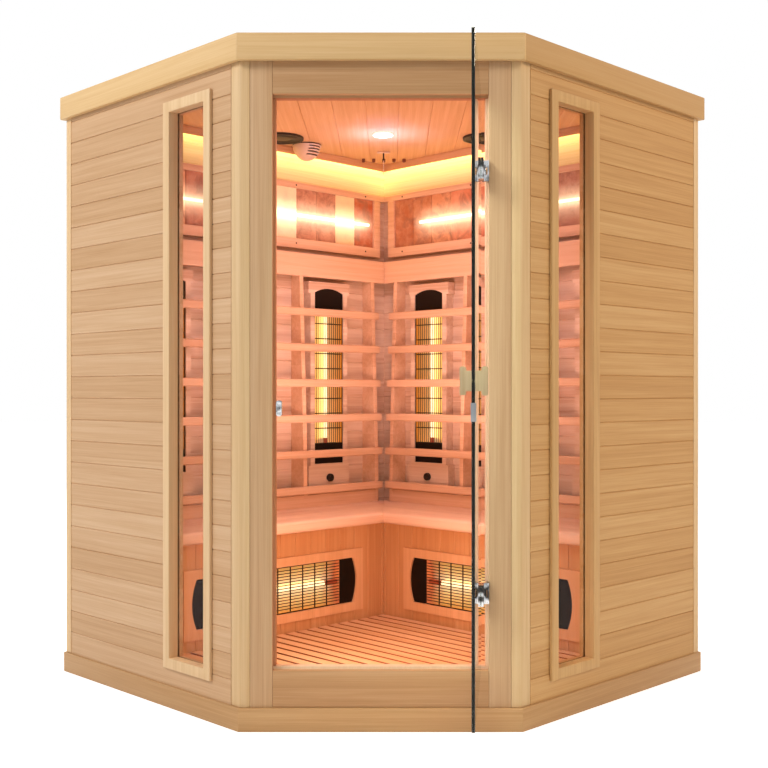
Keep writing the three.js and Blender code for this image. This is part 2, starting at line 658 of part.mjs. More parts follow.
// Hinge plate: screwed to the jamb, with two knuckles and the pin that the clamp turns on
function hingePlate(z) {
  const half = HINGE_HEIGHT / 2;
  const plateFace = PIVOT_FROM_JAMB - HINGE_PLATE;
  const plateBack = STOP_FACE - PIVOT[1] - HINGE_CLEARANCE;
  const plate = block(plateFace, PIVOT_FROM_JAMB - GAP, -KNUCKLE_RADIUS, plateBack, z - half, z + half);
  const pin = rod(PIN_RADIUS, z - half, z + half, PIN_ROUND);
  const lower = [z - half, z - KNUCKLE_HEIGHT / 2];
  const upper = [z + KNUCKLE_HEIGHT / 2, z + half];
  const knuckles = [lower, upper].flatMap(([from, to]) => [
    rod(KNUCKLE_RADIUS, from, to, PIN_ROUND),
    block(0, plateFace + EMBED, -KNUCKLE_RADIUS / 2, KNUCKLE_RADIUS / 2, from, to),
  ]);
  return join(plate, pin, ...knuckles).translate(PIVOT[0], PIVOT[1], 0);
}

// Glass clamp: two cheeks bolted through the glass, with the middle knuckle
function hingeClamp(z) {
  const half = HINGE_HEIGHT / 2;
  const knuckleHalf = KNUCKLE_HEIGHT / 2 - GAP;
  const outside = GLASS_BEHIND_PIVOT - GAP;
  const inside = GLASS_BACK + GAP;
  const end = CLAMP_START - CLAMP_LENGTH;
  const outerCheek = block(end, CLAMP_START, outside - CLAMP_CHEEK, outside, z - half, z + half);
  const innerCheek = block(end, CLAMP_START, inside, inside + CLAMP_CHEEK, z - half, z + half);
  const bolts = [-CLAMP_BOLT_RISE, CLAMP_BOLT_RISE].map((rise) =>
    crossRod(CLAMP_BOLT_RADIUS, outside - EMBED, inside + EMBED, CLAMP_BOLT_X, z + rise));
  const low = z - knuckleHalf;
  const high = z + knuckleHalf;
  const knuckle = rod(KNUCKLE_RADIUS, low, high, PIN_ROUND);
  const web = block(CLAMP_START - EMBED, 0, -KNUCKLE_RADIUS / 2, KNUCKLE_RADIUS - EMBED, low, high);
  const bore = rod(PIN_RADIUS + PIN_CLEARANCE, z - half, z + half, PIN_ROUND);
  return join(cut(join(knuckle, web), bore), outerCheek, innerCheek, ...bolts);
}

// Handle: a wooden pull of stepped section, a neck on the glass and a taller grip in front of it
function handle(face, outward) {
  const { width, neck, neckDepth, grip, gripDepth, round } = HANDLE;
  const start = face + outward * GAP;
  const step = start + outward * neckDepth;
  const inGrip = step - outward * EMBED;
  const end = step + outward * gripDepth;
  const ordered = (a, b) => [Math.min(a, b), Math.max(a, b)];
  const rise = (height) => [HANDLE_HEIGHT - height / 2, HANDLE_HEIGHT + height / 2];
  const run = [HANDLE_X - width / 2, HANDLE_X + width / 2];
  return join(
    alongX(rectangle(...ordered(start, step), ...rise(neck)), ...run),
    alongX(roundedRectangle(...ordered(inGrip, end), ...rise(grip), round), ...run, EDGE_STEPS),
  );
}

function outerHandle() {
  const from = GLASS_BEHIND_PIVOT - HANDLE_BORE;
  const to = GLASS_BACK + HANDLE_BORE - BOLT_CLEARANCE;
  return join(handle(GLASS_BEHIND_PIVOT, -1), crossRod(HANDLE_STUD, from, to, HANDLE_X, HANDLE_HEIGHT));
}

function innerHandle() {
  const radius = HANDLE_STUD + BOLT_CLEARANCE;
  const bore = crossRod(radius, GLASS_BACK - EMBED, GLASS_BACK + HANDLE_BORE, HANDLE_X, HANDLE_HEIGHT);
  return cut(handle(GLASS_BACK, 1), bore);
}

// Strike: a folded steel clip over the free edge of the glass
function strikeClip() {
  const { height, reach, sheet, side } = STRIKE;
  const end = GLASS_FREE_EDGE + reach;
  const outer = block(GLASS_FREE_EDGE - sheet, end, GLASS_BEHIND_PIVOT - side, GLASS_BACK + side,
    STRIKE_HEIGHT - height / 2, STRIKE_HEIGHT + height / 2);
  const slot = block(GLASS_FREE_EDGE - GAP, end + EMBED, GLASS_BEHIND_PIVOT - GAP, GLASS_BACK + GAP,
    STRIKE_HEIGHT - height, STRIKE_HEIGHT + height);
  return cut(outer, slot);
}

// Jamb catch: a chrome case with round ends on the stop, holding two magnets that face the strike
function jambCatch() {
  const { width, height, depth, magnet, magnetDepth } = CATCH;
  const from = GAP - (OPENING_HALF - STOP_WIDTH);
  const front = STOP_FACE + GAP;
  const low = STRIKE_HEIGHT - height / 2;
  const outline = roundedRectangle(from, from + width, low, low + height, width / 2 - EMBED);
  const sockets = [-height / 4, height / 4].map((rise) =>
    crossRod(magnet, front - EMBED, front + magnetDepth, from + width / 2, STRIKE_HEIGHT + rise));
  return cut(alongY(outline, front, front + depth, EDGE_STEPS), ...sockets);
}

add(door, 'door_glass', doorGlass(), clearGlass);
for (const [place, z] of Object.entries(HINGE_HEIGHTS)) {
  add(cabin, `hinge_plate_${place}`, hingePlate(z), chrome);
  add(door, `hinge_clamp_${place}`, hingeClamp(z), chrome);
}
add(door, 'handle_outer', outerHandle(), paleHemlock);
add(door, 'handle_inner', innerHandle(), paleHemlock);
add(door, 'strike_clip', strikeClip(), greySteel);
add(cabin, 'jamb_catch', jambCatch(), chrome);

// What lies between the mitre at the back corner and the side wall, for a piece of the given depth
function mitred(geometry, sign, bottom, top) {
  const reach = BENCH_DEPTH + EMBED;
  const end = INNER_SIDE - GAP;
  const points = [[GAP, 0], [reach + GAP, reach], [end, reach], [end, 0]];
  const outline = shapeOf(points.map(([s, depth]) => [sign * s, depth]));
  return common(geometry, upright(outline, bottom - EMBED, top + EMBED));
}

// Bench top: boards laid along the wall, with a rounded front edge
function benchTop(side) {
  const sign = SIDES[side];
  const bottom = BENCH_HEIGHT - BENCH_BOARD;
  const boards = plankOutline(BENCH_DEPTH - BENCH_NOSE, BENCH_BOARD, BENCH_PLANK);
  const shape = shapeOf(boards.map(([a, b]) => [a + GAP, BENCH_HEIGHT - b]));
  const straight = alongX(shape, 0, sign * INNER_SIDE);
  const noseBack = BENCH_DEPTH - BENCH_BOARD;
  const noseShape = roundedRectangle(noseBack, BENCH_DEPTH, bottom, BENCH_HEIGHT, BENCH_NOSE);
  const nose = alongX(noseShape, 0, sign * INNER_SIDE, EDGE_STEPS);
  return mitred(join(straight, nose), sign, bottom, BENCH_HEIGHT);
}

// A heater outline on its side, centred on a place along the bench front
function lyingHeaterHole(middle) {
  return alongY(heaterOutline(LYING, GAP), 0, BENCH_DEPTH)
    .rotateY(-Math.PI / 2)
    .translate(middle + LYING.length / 2, 0, BENCH_HEATER_HEIGHT);
}

// Bench front: upright boards under the seat, with a moulded frame round the heater opening
function benchFront(side) {
  const sign = SIDES[side];
  const top = BENCH_HEIGHT - BENCH_BOARD - GAP;
  const boards = plankOutline(INNER_SIDE, BENCH_PANEL, PLANK_PITCH);
  const panel = upright(shapeOf(boards.map(([a, b]) => [sign * a, BENCH_FRONT - b])), WALL_BOTTOM, top);
  const middle = sign * BENCH_HEATER_CENTRE;
  const half = LYING.length / 2 + SURROUND.stile;
  const rise = LYING.width / 2 + SURROUND.stile;
  const inBoards = BENCH_FRONT - GROOVE_DEPTH - EMBED;
  const frame = block(middle - half, middle + half, inBoards, BENCH_FRONT + BENCH_MOULDING,
    BENCH_HEATER_HEIGHT - rise, BENCH_HEATER_HEIGHT + rise);
  return cut(mitred(join(panel, frame), sign, WALL_BOTTOM, top), lyingHeaterHole(middle));
}

// Backrest: uprights with a lumbar curve on a foot rail, six slats and a head board
function uprightDepth(z) {
  const { shoulder, waist, foot } = UPRIGHT_DEPTH;
  const curve = new THREE.CubicBezierCurve(
    new THREE.Vector2(foot, 0),
    new THREE.Vector2(foot, 1 / 3),
    new THREE.Vector2(waist, 2 / 3),
    new THREE.Vector2(shoulder, 1),
  );
  return curve.getPoint((z - BENCH_HEIGHT) / (HEADBOARD_BOTTOM - BENCH_HEIGHT)).x;
}

function uprightProfile() {
  const bottom = BENCH_HEIGHT + GAP;
  const top = HEADBOARD_TOP - SLAT.height;
  const edge = [];
  for (let i = 0; i <= UPRIGHT.steps; i += 1) {
    const z = bottom + (i / UPRIGHT.steps) * (HEADBOARD_BOTTOM - bottom);
    edge.push([uprightDepth(z), z]);
  }
  const head = [[UPRIGHT_DEPTH.top, HEADBOARD_BOTTOM], [UPRIGHT_DEPTH.top, top], [GAP, top]];
  return shapeOf([[GAP, bottom], ...edge, ...head]);
}

// A slat's section, with its two front edges chamfered
function slatSection(z) {
  const { height, depth, chamfer } = SLAT;
  const back = uprightDepth(z) - EMBED;
  const front = back + depth;
  const low = z - height / 2;
  const high = z + height / 2;
  return shapeOf([
    [back, low], [front - chamfer, low], [front, low + chamfer],
    [front, high - chamfer], [front - chamfer, high], [back, high],
  ]);
}

function backrest(side) {
  const sign = SIDES[side];
  const end = sign * (INNER_SIDE - SLAT.endGap);
  const profile = uprightProfile();
  const parts = [];
  for (let i = 0; i < UPRIGHT.count; i += 1) {
    const s = UPRIGHT.first + i * UPRIGHT_PITCH;
    parts.push(alongX(profile, sign * (s - UPRIGHT.thick / 2), sign * (s + UPRIGHT.thick / 2)));
  }
  for (let i = 0; i < SLAT.count; i += 1) {
    parts.push(alongX(slatSection(LOWEST_SLAT + i * SLAT_PITCH), sign * SLAT.inCorner, end));
  }
  const railFront = UPRIGHT_DEPTH.foot - EMBED;
  const railTop = LOWEST_SLAT - SLAT.height / 2 - FOOT_RAIL_GAP;
  parts.push(block(sign * UPRIGHT.first, end, railFront - UPRIGHT.thick, railFront,
    BENCH_HEIGHT + GAP, railTop));
  const boardFront = UPRIGHT_DEPTH.top + HEADBOARD.depth;
  const board = block(sign * (boardFront + GAP), end, UPRIGHT_DEPTH.top - EMBED, boardFront,
    HEADBOARD_BOTTOM, HEADBOARD_TOP);
  return join(board, ...parts);
}

// Salt wall: a row of salt stone tiles with recessed joints
function saltTiles(side) {
  const sign = SIDES[side];
  const slab = block(sign * (SALT.start + GAP), sign * (SALT_END - GAP), GAP, SALT.tile,
    SALT_BOTTOM + GAP, SALT_TOP - GAP);
  const half = SALT.joint / 2;
  const joints = [];
  for (let s = SALT.start + SALT.tilePitch; s < SALT_END - SALT.joint; s += SALT.tilePitch) {
    joints.push(block(sign * (s - half), sign * (s + half), SALT.tile - SALT.joint, SALT.tile + EMBED,
      SALT_BOTTOM, SALT_TOP));
  }
  return cut(slab, ...joints);
}

// Salt frame: four boards round the tiles, the head board mitred into the corner, and a tube lamp across them
function saltFrame(side) {
  const sign = SIDES[side];
  const { depth, foot, head, corner } = SALT_FRAME;
  const bottom = SALT_BOTTOM - foot;
  const top = SALT_TOP + head;
  const boards = join(
    block(sign * (SALT.start - corner), sign * INNER_SIDE, GAP, depth, bottom, top),
    block(0, sign * INNER_SIDE, GAP, depth, SALT_TOP, top),
  );
  const hole = block(sign * SALT.start, sign * SALT_END, 0, depth + EMBED, SALT_BOTTOM, SALT_TOP);
  const lamp = rod(SALT_LAMP.radius, SALT.start - EMBED, SALT_END + EMBED, SMALL_ROUND)
    .rotateY(sign * Math.PI / 2)
    .translate(0, SALT.tile + SALT_LAMP.stand + SALT_LAMP.radius, SALT_BOTTOM + SALT_LAMP.height);
  return mitred(join(cut(boards, hole), lamp), sign, bottom, top);
}

// Crown: a moulding under the ceiling that hides the cove light, mitred in the corner
function crown(side) {
  const sign = SIDES[side];
  const { height, depth, lip } = CROWN;
  const bottom = WALL_TOP - height;
  const section = shapeOf([
    [GAP, WALL_TOP], [GAP, WALL_TOP - lip], [depth - lip, WALL_TOP - lip],
    [depth - lip, bottom], [depth, bottom], [depth, WALL_TOP],
  ]);
  return mitred(alongX(section, 0, sign * INNER_SIDE), sign, bottom, WALL_TOP);
}

// Dimmer knob: a fluted cap with a pointer rib, turning on the foot board of a surround
function knob() {
  const { radius, height, flute, flutes, pointer } = KNOB;
  const points = [];
  for (let i = 0; i < 2 * flutes; i += 1) {
    const r = i % 2 ? radius - flute : radius;
    const a = (i / flutes) * Math.PI;
    points.push([r * Math.cos(a), r * Math.sin(a)]);
  }
  const cap = alongY(shapeOf(points), 0, height - pointer);
  const rib = block(-pointer / 2, pointer / 2, height - pointer - EMBED, height, 0, radius - 2 * flute);
  return join(cap, rib);
}

const standingHeater = heater(STANDING);
const lyingHeater = heater(LYING).rotateY(-Math.PI / 2);
const knobShape = knob();

for (const [side, sign] of Object.entries(SIDES)) {
  const group = backGroup[side];
  add(group, `bench_top_${side}`, benchTop(side), hemlock);
  add(group, `bench_front_${side}`, benchFront(side), hemlock);
  add(group, `backrest_${side}`, backrest(side), hemlock);
  add(group, `salt_tiles_${side}`, saltTiles(side), saltStone);
  add(group, `salt_frame_${side}`, saltFrame(side), hemlock);
  add(group, `crown_${side}`, crown(side), hemlock);
  const lying = add(group, `heater_bench_${side}`, lyingHeater, blackSteel);
  const lyingBack = BENCH_FRONT + BENCH_HEATER.proud - HEATER.depth;
  lying.position.set(sign * BENCH_HEATER_CENTRE + LYING.length / 2, lyingBack, BENCH_HEATER_HEIGHT);
  heaterPlaces(side).forEach((s, i) => {
    const standing = add(group, `heater_back_${side}_${i + 1}`, standingHeater, blackSteel);
    standing.position.set(sign * s, GAP, BACK_HEATER_BOTTOM);
    const dimmer = add(group, `dimmer_knob_${side}_${i + 1}`, knobShape, blackPlastic);
    const knobHeight = BACK_HEATER_BOTTOM - SURROUND.foot + KNOB.aboveFoot;
    dimmer.position.set(sign * s, SURROUND.depth + GAP, knobHeight);
  });
}

// Ceiling fittings: a rim under the ceiling round a recessed face, with a body in its hole
function fitting({ radius, body, rim, recess, flange, depth, edge }) {
  const face = WALL_TOP - flange;
  const rimOuter = radius - edge;
  const rimInner = rimOuter - rim;
  return turned([
    [0, face + recess], [rimInner, face + recess], [rimInner, face], [rimOuter, face],
    [radius, face + edge], [radius, WALL_TOP],
    [body, WALL_TOP], [body, WALL_TOP + depth], [0, WALL_TOP + depth],
  ]);
}

// Ioniser: a bowl that hangs open side up under the ceiling, with slits in its side
function ioniser() {
  const { radius, height, wall, rings } = IONISER;
  const outer = [];
  const inner = [];
  for (let i = 0; i <= rings; i += 1) {
    const a = (i / rings) * (Math.PI / 2);
    outer.push([radius * Math.sin(a), -height * Math.cos(a)]);
    inner.unshift([(radius - wall) * Math.sin(a), -(height - wall) * Math.cos(a)]);
  }
  const slits = [];
  for (let i = 0; i < SLIT.count; i += 1) {
    const z = -SLIT.first - i * SLIT.pitch;
    slits.push(block(0, 2 * radius, -SLIT.half, SLIT.half, z - SLIT.width / 2, z + SLIT.width / 2)
      .rotateZ(THREE.MathUtils.degToRad(SLIT.turn)));
  }
  return cut(turned([...outer, ...inner], PIN_ROUND), ...slits)
    .translate(IONISER.x, INNER_CORNER - IONISER.fromCorner, WALL_TOP);
}

// Temperature sensor: a plate on the ceiling with a probe hanging from it
function sensor() {
  const { width, depth, plate, stem, length } = SENSOR;
  const outline = roundedRectangle(-width / 2, width / 2, -depth / 2, depth / 2, depth / 2 - EMBED);
  return join(
    upright(outline, WALL_TOP - plate, WALL_TOP, EDGE_STEPS),
    rod(stem, WALL_TOP - length, WALL_TOP - plate + EMBED, SMALL_ROUND),
  );
}

const speaker = fitting(SPEAKER);
for (const [side, sign] of Object.entries(SIDES)) {
  const mesh = add(cabin, `speaker_${side}`, speaker, blackPlastic);
  mesh.position.set(-sign * SPEAKER_APART / 2, INNER_CORNER - SPEAKER.fromCorner, 0);
}
const downlight = add(cabin, 'downlight', fitting(DOWNLIGHT), whiteLamp);
downlight.position.set(0, INNER_CORNER - DOWNLIGHT.fromCorner, 0);
add(cabin, 'ioniser', ioniser(), beigePlastic);
const probe = add(cabin, 'temperature_sensor', sensor(), greySteel);
probe.position.set(0, INNER_CORNER - SENSOR.fromCorner, 0);

export default cabin;
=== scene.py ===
# Corner infrared sauna cabin, dressed for a studio picture.
# Sizes are metres in the cabin's own frame: +Z up, the doorway faces -Y.
import json
import math
import bpy
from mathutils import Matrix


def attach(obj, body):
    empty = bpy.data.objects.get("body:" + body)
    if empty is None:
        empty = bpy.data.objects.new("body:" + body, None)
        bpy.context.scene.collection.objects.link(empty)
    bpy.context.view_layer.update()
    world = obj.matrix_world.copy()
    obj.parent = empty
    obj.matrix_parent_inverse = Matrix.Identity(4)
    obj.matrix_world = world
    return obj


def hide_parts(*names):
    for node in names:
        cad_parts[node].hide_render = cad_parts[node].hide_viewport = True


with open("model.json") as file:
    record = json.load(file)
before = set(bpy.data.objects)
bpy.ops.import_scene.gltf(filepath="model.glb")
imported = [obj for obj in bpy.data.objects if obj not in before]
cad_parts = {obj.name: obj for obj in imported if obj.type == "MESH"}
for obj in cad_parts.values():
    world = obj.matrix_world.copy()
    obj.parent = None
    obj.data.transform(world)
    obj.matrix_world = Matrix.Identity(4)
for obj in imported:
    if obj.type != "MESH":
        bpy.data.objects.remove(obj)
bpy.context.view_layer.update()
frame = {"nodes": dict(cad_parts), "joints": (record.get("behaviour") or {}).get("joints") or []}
nodes = frame["nodes"]

# Camera: stands three metres in front of the doorway at chest height, level, and looks straight in.
# Lens and shift were fitted to the roof, plinth and doorway edges.
camera_data = bpy.data.cameras.new("studio_camera")
camera_data.sensor_width = 36
camera_data.lens = 52.49
camera_data.shift_x = -0.00833
camera_data.shift_y = 0.00988
camera = bpy.data.objects.new("studio_camera", camera_data)
camera.location = (0.0267, -3.712, 0.926)
camera.rotation_euler = (math.radians(90), 0, 0)
bpy.context.scene.collection.objects.link(camera)
bpy.context.scene.camera = camera
bpy.context.scene.view_settings.view_transform = "Standard"


# Studio: a pale seamless floor, a white room, a large soft key lamp high on the left, a fill on the right
# and one behind. The floor and the room are white to the eye, to glass and to metal.
# The floor keeps the shadow.
def linear(hex_colour):
    parts = [int(hex_colour[i:i + 2], 16) / 255 for i in (1, 3, 5)]
    return tuple(c / 12.92 if c <= 0.04045 else ((c + 0.055) / 1.055) ** 2.4 for c in parts) + (1.0,)


def add_node(tree, kind, inputs=None, **settings):
    made = tree.nodes.new(kind)
    for key, value in settings.items():
        setattr(made, key, value)
    for key, value in (inputs or {}).items():
        if isinstance(value, bpy.types.NodeSocket):
            tree.links.new(value, made.inputs[key])
        else:
            made.inputs[key].default_value = value
    return made


def new_material(name):
    material = bpy.data.materials.new(name)
    material.use_nodes = True
    material.node_tree.nodes.clear()
    place = add_node(material.node_tree, "ShaderNodeTexCoord").outputs["Object"]
    return material, material.node_tree, place


def seen_directly(tree):
    path = add_node(tree, "ShaderNodeLightPath")
    glossy = add_node(tree, "ShaderNodeMath", {
        0: path.outputs["Is Camera Ray"], 1: path.outputs["Is Glossy Ray"]}, operation="MAXIMUM")
    return add_node(tree, "ShaderNodeMath", {
        0: glossy.outputs[0], 1: path.outputs["Is Transmission Ray"]}, operation="MAXIMUM").outputs[0]


world = bpy.data.worlds.new("white_room")
bpy.context.scene.world = world
world.use_nodes = True
world.node_tree.nodes.clear()
room_seen = add_node(world.node_tree, "ShaderNodeMapRange", {
    "Value": seen_directly(world.node_tree), "To Min": 0.4, "To Max": 1.0})
room = add_node(world.node_tree, "ShaderNodeBackground", {
    "Color": (1, 1, 1, 1), "Strength": room_seen.outputs[0]})
add_node(world.node_tree, "ShaderNodeOutputWorld", {"Surface": room.outputs[0]})

# Studio paper: matt white with a fine tooth of about 20 mm, drawn coarse so that it shows at all.
paper, tree, place = new_material("white_studio_paper")
paper_grain = add_node(tree, "ShaderNodeTexNoise", {"Vector": place, "Scale": 1 / 0.02, "Detail": 2.0})
paper_tone = add_node(tree, "ShaderNodeMix", {
    "Factor": paper_grain.outputs[0], "A": linear("#F6F6F6"), "B": linear("#FAFAFA")}, data_type="RGBA")
paper_lit = add_node(tree, "ShaderNodeBsdfDiffuse", {"Color": paper_tone.outputs["Result"]})
paper_seen = add_node(tree, "ShaderNodeMapRange", {
    "Value": seen_directly(tree), "To Min": 0.0, "To Max": 0.66})
paper_glow = add_node(tree, "ShaderNodeEmission", {"Color": (1, 1, 1, 1), "Strength": paper_seen.outputs[0]})
paper_both = add_node(tree, "ShaderNodeAddShader", {0: paper_lit.outputs[0], 1: paper_glow.outputs[0]})
add_node(tree, "ShaderNodeOutputMaterial", {"Surface": paper_both.outputs[0]})

bpy.ops.mesh.primitive_plane_add(size=60, location=(0, 0, -0.001))
studio_floor = bpy.context.object
studio_floor.name = "studio_floor"
bpy.ops.object.transform_apply(location=True, rotation=True, scale=True)
studio_floor.data.materials.append(paper)


def soft_lamp(name, place, aim, size, power, colour):
    data = bpy.data.lights.new(name, "AREA")
    data.shape = "SQUARE"
    data.size = size
    data.energy = power
    data.color = linear(colour)[:3]
    lamp = bpy.data.objects.new(name, data)
    lamp.location = place
    away = [a - p for a, p in zip(aim, place)]
    flat = math.hypot(away[0], away[1])
    lamp.rotation_euler = (math.atan2(flat, -away[2]), 0, math.atan2(away[1], away[0]) - math.pi / 2)
    lamp.visible_camera = False
    lamp.visible_transmission = False
    bpy.context.scene.collection.objects.link(lamp)
    return lamp


soft_lamp("key_lamp", (-4.3, -2.7, 4.7), (-0.4, 0, 0.9), size=1.8, power=205, colour="#FFFFFF")
soft_lamp("fill_lamp", (4.3, -2.1, 3.8), (0.4, 0, 0.9), size=1.8, power=108, colour="#FFE8C8")
soft_lamp("back_lamp", (0, 5.5, 3.6), (0, 0.4, 0.9), size=3.0, power=170, colour="#FFFFFF")


# Base and duckboard: plinth boards of hemlock round the floor, and loose slats laid on it.
# Hemlock is a pale softwood, here planed, sanded and unsealed: fine straight grain, soft yearly rings and a
# faint sheen. Each board has its own tone and its own place in the grain, which runs along it.
ring_front_half, ring_front_line = 0.3875, -0.5


def along_ring(tree, place):
    axes = add_node(tree, "ShaderNodeSeparateXYZ", {0: place})
    product = add_node(tree, "ShaderNodeMath", {
        0: axes.outputs["X"], 1: axes.outputs["Y"]}, operation="MULTIPLY")
    crossing = add_node(tree, "ShaderNodeMath", {0: product.outputs[0], 1: 0.0}, operation="GREATER_THAN")
    rising = add_node(tree, "ShaderNodeMapping", {"Vector": place, "Rotation": (0, 0, math.radians(-45))})
    falling = add_node(tree, "ShaderNodeMapping", {"Vector": place, "Rotation": (0, 0, math.radians(45))})
    sides = add_node(tree, "ShaderNodeMix", {
        "Factor": crossing.outputs[0], 4: rising.outputs[0], 5: falling.outputs[0]}, data_type="VECTOR")
    width = add_node(tree, "ShaderNodeMath", {0: axes.outputs["X"]}, operation="ABSOLUTE")
    narrow = add_node(tree, "ShaderNodeMath", {
        0: width.outputs[0], 1: ring_front_half}, operation="LESS_THAN")
    front = add_node(tree, "ShaderNodeMath", {
        0: axes.outputs["Y"], 1: ring_front_line}, operation="LESS_THAN")
    faces_door = add_node(tree, "ShaderNodeMath", {
        0: narrow.outputs[0], 1: front.outputs[0]}, operation="MULTIPLY")
    return add_node(tree, "ShaderNodeMix", {
        "Factor": faces_door.outputs[0], 4: sides.outputs[1], 5: place}, data_type="VECTOR").outputs[1]


def hemlock(name, tones, turn=0, grain="X", across="Z", board=0.07, start=0.0643, spread=0.07):
    material, tree, place = new_material(name)
    if turn == "ring":
        turned = along_ring(tree, place)
    else:
        turned = add_node(tree, "ShaderNodeMapping", {
            "Vector": place, "Rotation": (0, 0, math.radians(turn))}).outputs[0]
    axes = add_node(tree, "ShaderNodeSeparateXYZ", {0: turned})
    shifted = add_node(tree, "ShaderNodeMath", {0: axes.outputs[across], 1: start}, operation="SUBTRACT")
    counted = add_node(tree, "ShaderNodeMath", {0: shifted.outputs[0], 1: board}, operation="DIVIDE")
    number = add_node(tree, "ShaderNodeMath", {0: counted.outputs[0]}, operation="FLOOR")
    chance = add_node(tree, "ShaderNodeTexWhiteNoise", {"W": number.outputs[0]}, noise_dimensions="1D")
    slide = add_node(tree, "ShaderNodeVectorMath", {
        0: chance.outputs["Color"], 1: (7.0, 7.0, 7.0)}, operation="MULTIPLY")
    moved = add_node(tree, "ShaderNodeVectorMath", {0: turned, 1: slide.outputs[0]}, operation="ADD")
    # grain streaks 1.5 mm wide and 250 mm long; ring bands 14 mm wide, drawn out along the board
    streak, band = [1 / 0.0015] * 3, [1 / 0.014] * 3
    streak["XYZ".index(grain)] = 1 / 0.25
    band["XYZ".index(grain)] = 1 / 0.7
    fine_place = add_node(tree, "ShaderNodeVectorMath", {
        0: moved.outputs[0], 1: streak}, operation="MULTIPLY")
    ring_place = add_node(tree, "ShaderNodeVectorMath", {0: moved.outputs[0], 1: band}, operation="MULTIPLY")
    fine = add_node(tree, "ShaderNodeTexNoise", {
        "Vector": fine_place.outputs[0], "Scale": 1.0, "Detail": 3.0, "Roughness": 0.6})
    ring = add_node(tree, "ShaderNodeTexNoise", {
        "Vector": ring_place.outputs[0], "Scale": 1.0, "Detail": 4.0, "Roughness": 0.6, "Distortion": 0.5})
    mixed = add_node(tree, "ShaderNodeMix", {"Factor": 0.55, "A": fine.outputs[0], "B": ring.outputs[0]})
    board_tone = add_node(tree, "ShaderNodeMapRange", {
        "Value": chance.outputs["Value"], "To Min": -spread, "To Max": spread})
    level = add_node(tree, "ShaderNodeMath", {0: mixed.outputs[0], 1: board_tone.outputs[0]}, operation="ADD")
    ramp = add_node(tree, "ShaderNodeValToRGB", {"Fac": level.outputs[0]})
    ramp.color_ramp.elements[0].position = 0.28
    ramp.color_ramp.elements[0].color = linear(tones[0])
    ramp.color_ramp.elements[1].position = 0.72
    ramp.color_ramp.elements[1].color = linear(tones[2])
    ramp.color_ramp.elements.new(0.5).color = linear(tones[1])
    sheen = add_node(tree, "ShaderNodeMapRange", {"Value": fine.outputs[0], "To Min": 0.45, "To Max": 0.65})
    bump = add_node(tree, "ShaderNodeBump", {
        "Height": mixed.outputs[0], "Strength": 0.25, "Distance": 0.0006})
    surface = add_node(tree, "ShaderNodeBsdfPrincipled", {
        "Base Color": ramp.outputs[0], "Roughness": sheen.outputs[0], "Normal": bump.outputs[0], "IOR": 1.5,
        "Specular IOR Level": 0.3})
    add_node(tree, "ShaderNodeOutputMaterial", {"Surface": surface.outputs[0]})
    return material


# the axes along which part of a wood changes, and the colour that it changes to
def axes_of(material, turn=0):
    tree = material.node_tree
    place = add_node(tree, "ShaderNodeTexCoord").outputs["Object"]
    turned = add_node(tree, "ShaderNodeMapping", {"Vector": place, "Rotation": (0, 0, math.radians(turn))})
    return add_node(tree, "ShaderNodeSeparateXYZ", {0: turned.outputs[0]}).outputs


def lay_over(material, share, colour, blend="MIX"):
    tree = material.node_tree
    laid = add_node(tree, "ShaderNodeMix", {
        "Factor": share, "A": tree.nodes["Color Ramp"].outputs[0], "B": linear(colour)},
        data_type="RGBA", blend_type=blend)
    tree.links.new(laid.outputs["Result"], tree.nodes["Principled BSDF"].inputs["Base Color"])


def finish_node(name, material):
    mesh = nodes[name].data
    mesh.materials.clear()
    mesh.materials.append(material)


def apply_modifier(piece, kind, **settings):
    bpy.context.view_layer.objects.active = piece
    modifier = piece.modifiers.new(kind.lower(), kind)
    for key, value in settings.items():
        setattr(modifier, key, value)
    bpy.ops.object.modifier_apply(modifier=modifier.name)


def pick(piece):
    bpy.ops.object.select_all(action="DESELECT")
    piece.select_set(True)
    bpy.context.view_layer.objects.active = piece


def smooth(piece, degrees):
    pick(piece)
    bpy.ops.object.shade_smooth_by_angle(angle=math.radians(degrees))


# a copy of a solid with its sharp edges eased, as boards and castings have them
def eased(name, material, edge, body="cabin"):
    piece = bpy.data.objects.new(name + "_eased", nodes[name].data.copy())
    bpy.context.scene.collection.objects.link(piece)
    pick(piece)
    bpy.ops.mesh.customdata_custom_splitnormals_clear()
    bpy.ops.object.mode_set(mode="EDIT")
    bpy.ops.mesh.select_all(action="SELECT")
    bpy.ops.mesh.remove_doubles(threshold=0.00001)
    bpy.ops.mesh.dissolve_limited(angle_limit=math.radians(0.5))
    bpy.ops.object.mode_set(mode="OBJECT")
    apply_modifier(piece, "BEVEL", width=edge, segments=2, limit_method="ANGLE", angle_limit=math.radians(40))
    smooth(piece, 30)
    piece.data.materials.clear()
    piece.data.materials.append(material)
    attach(piece, body)
    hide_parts(name)
    return piece


plinth_board = hemlock("hemlock_plinth_board", ("#AC8050", "#BC9162", "#CAA274"),
                       turn="ring", board=0.9, start=-0.4)
eased("base", plinth_board, 0.002)
duckboard_slat = hemlock("hemlock_duckboard_slat", ("#CAA070", "#D8B284", "#E4C49C"),
                         turn=45, grain="X", across="Y", board=0.049, start=0.0)
# the sawn sides of the slats, below their planed top, are painted dark: painted shade in the gaps between the
# slats
duckboard_top = max(corner[2] for corner in nodes["duckboard"].bound_box)
gap_shade_mask = add_node(duckboard_slat.node_tree, "ShaderNodeMath", {
    0: axes_of(duckboard_slat)["Z"], 1: duckboard_top - 0.0004}, operation="LESS_THAN")
lay_over(duckboard_slat, gap_shade_mask.outputs[0], "#9E6440")
finish_node("duckboard", duckboard_slat)

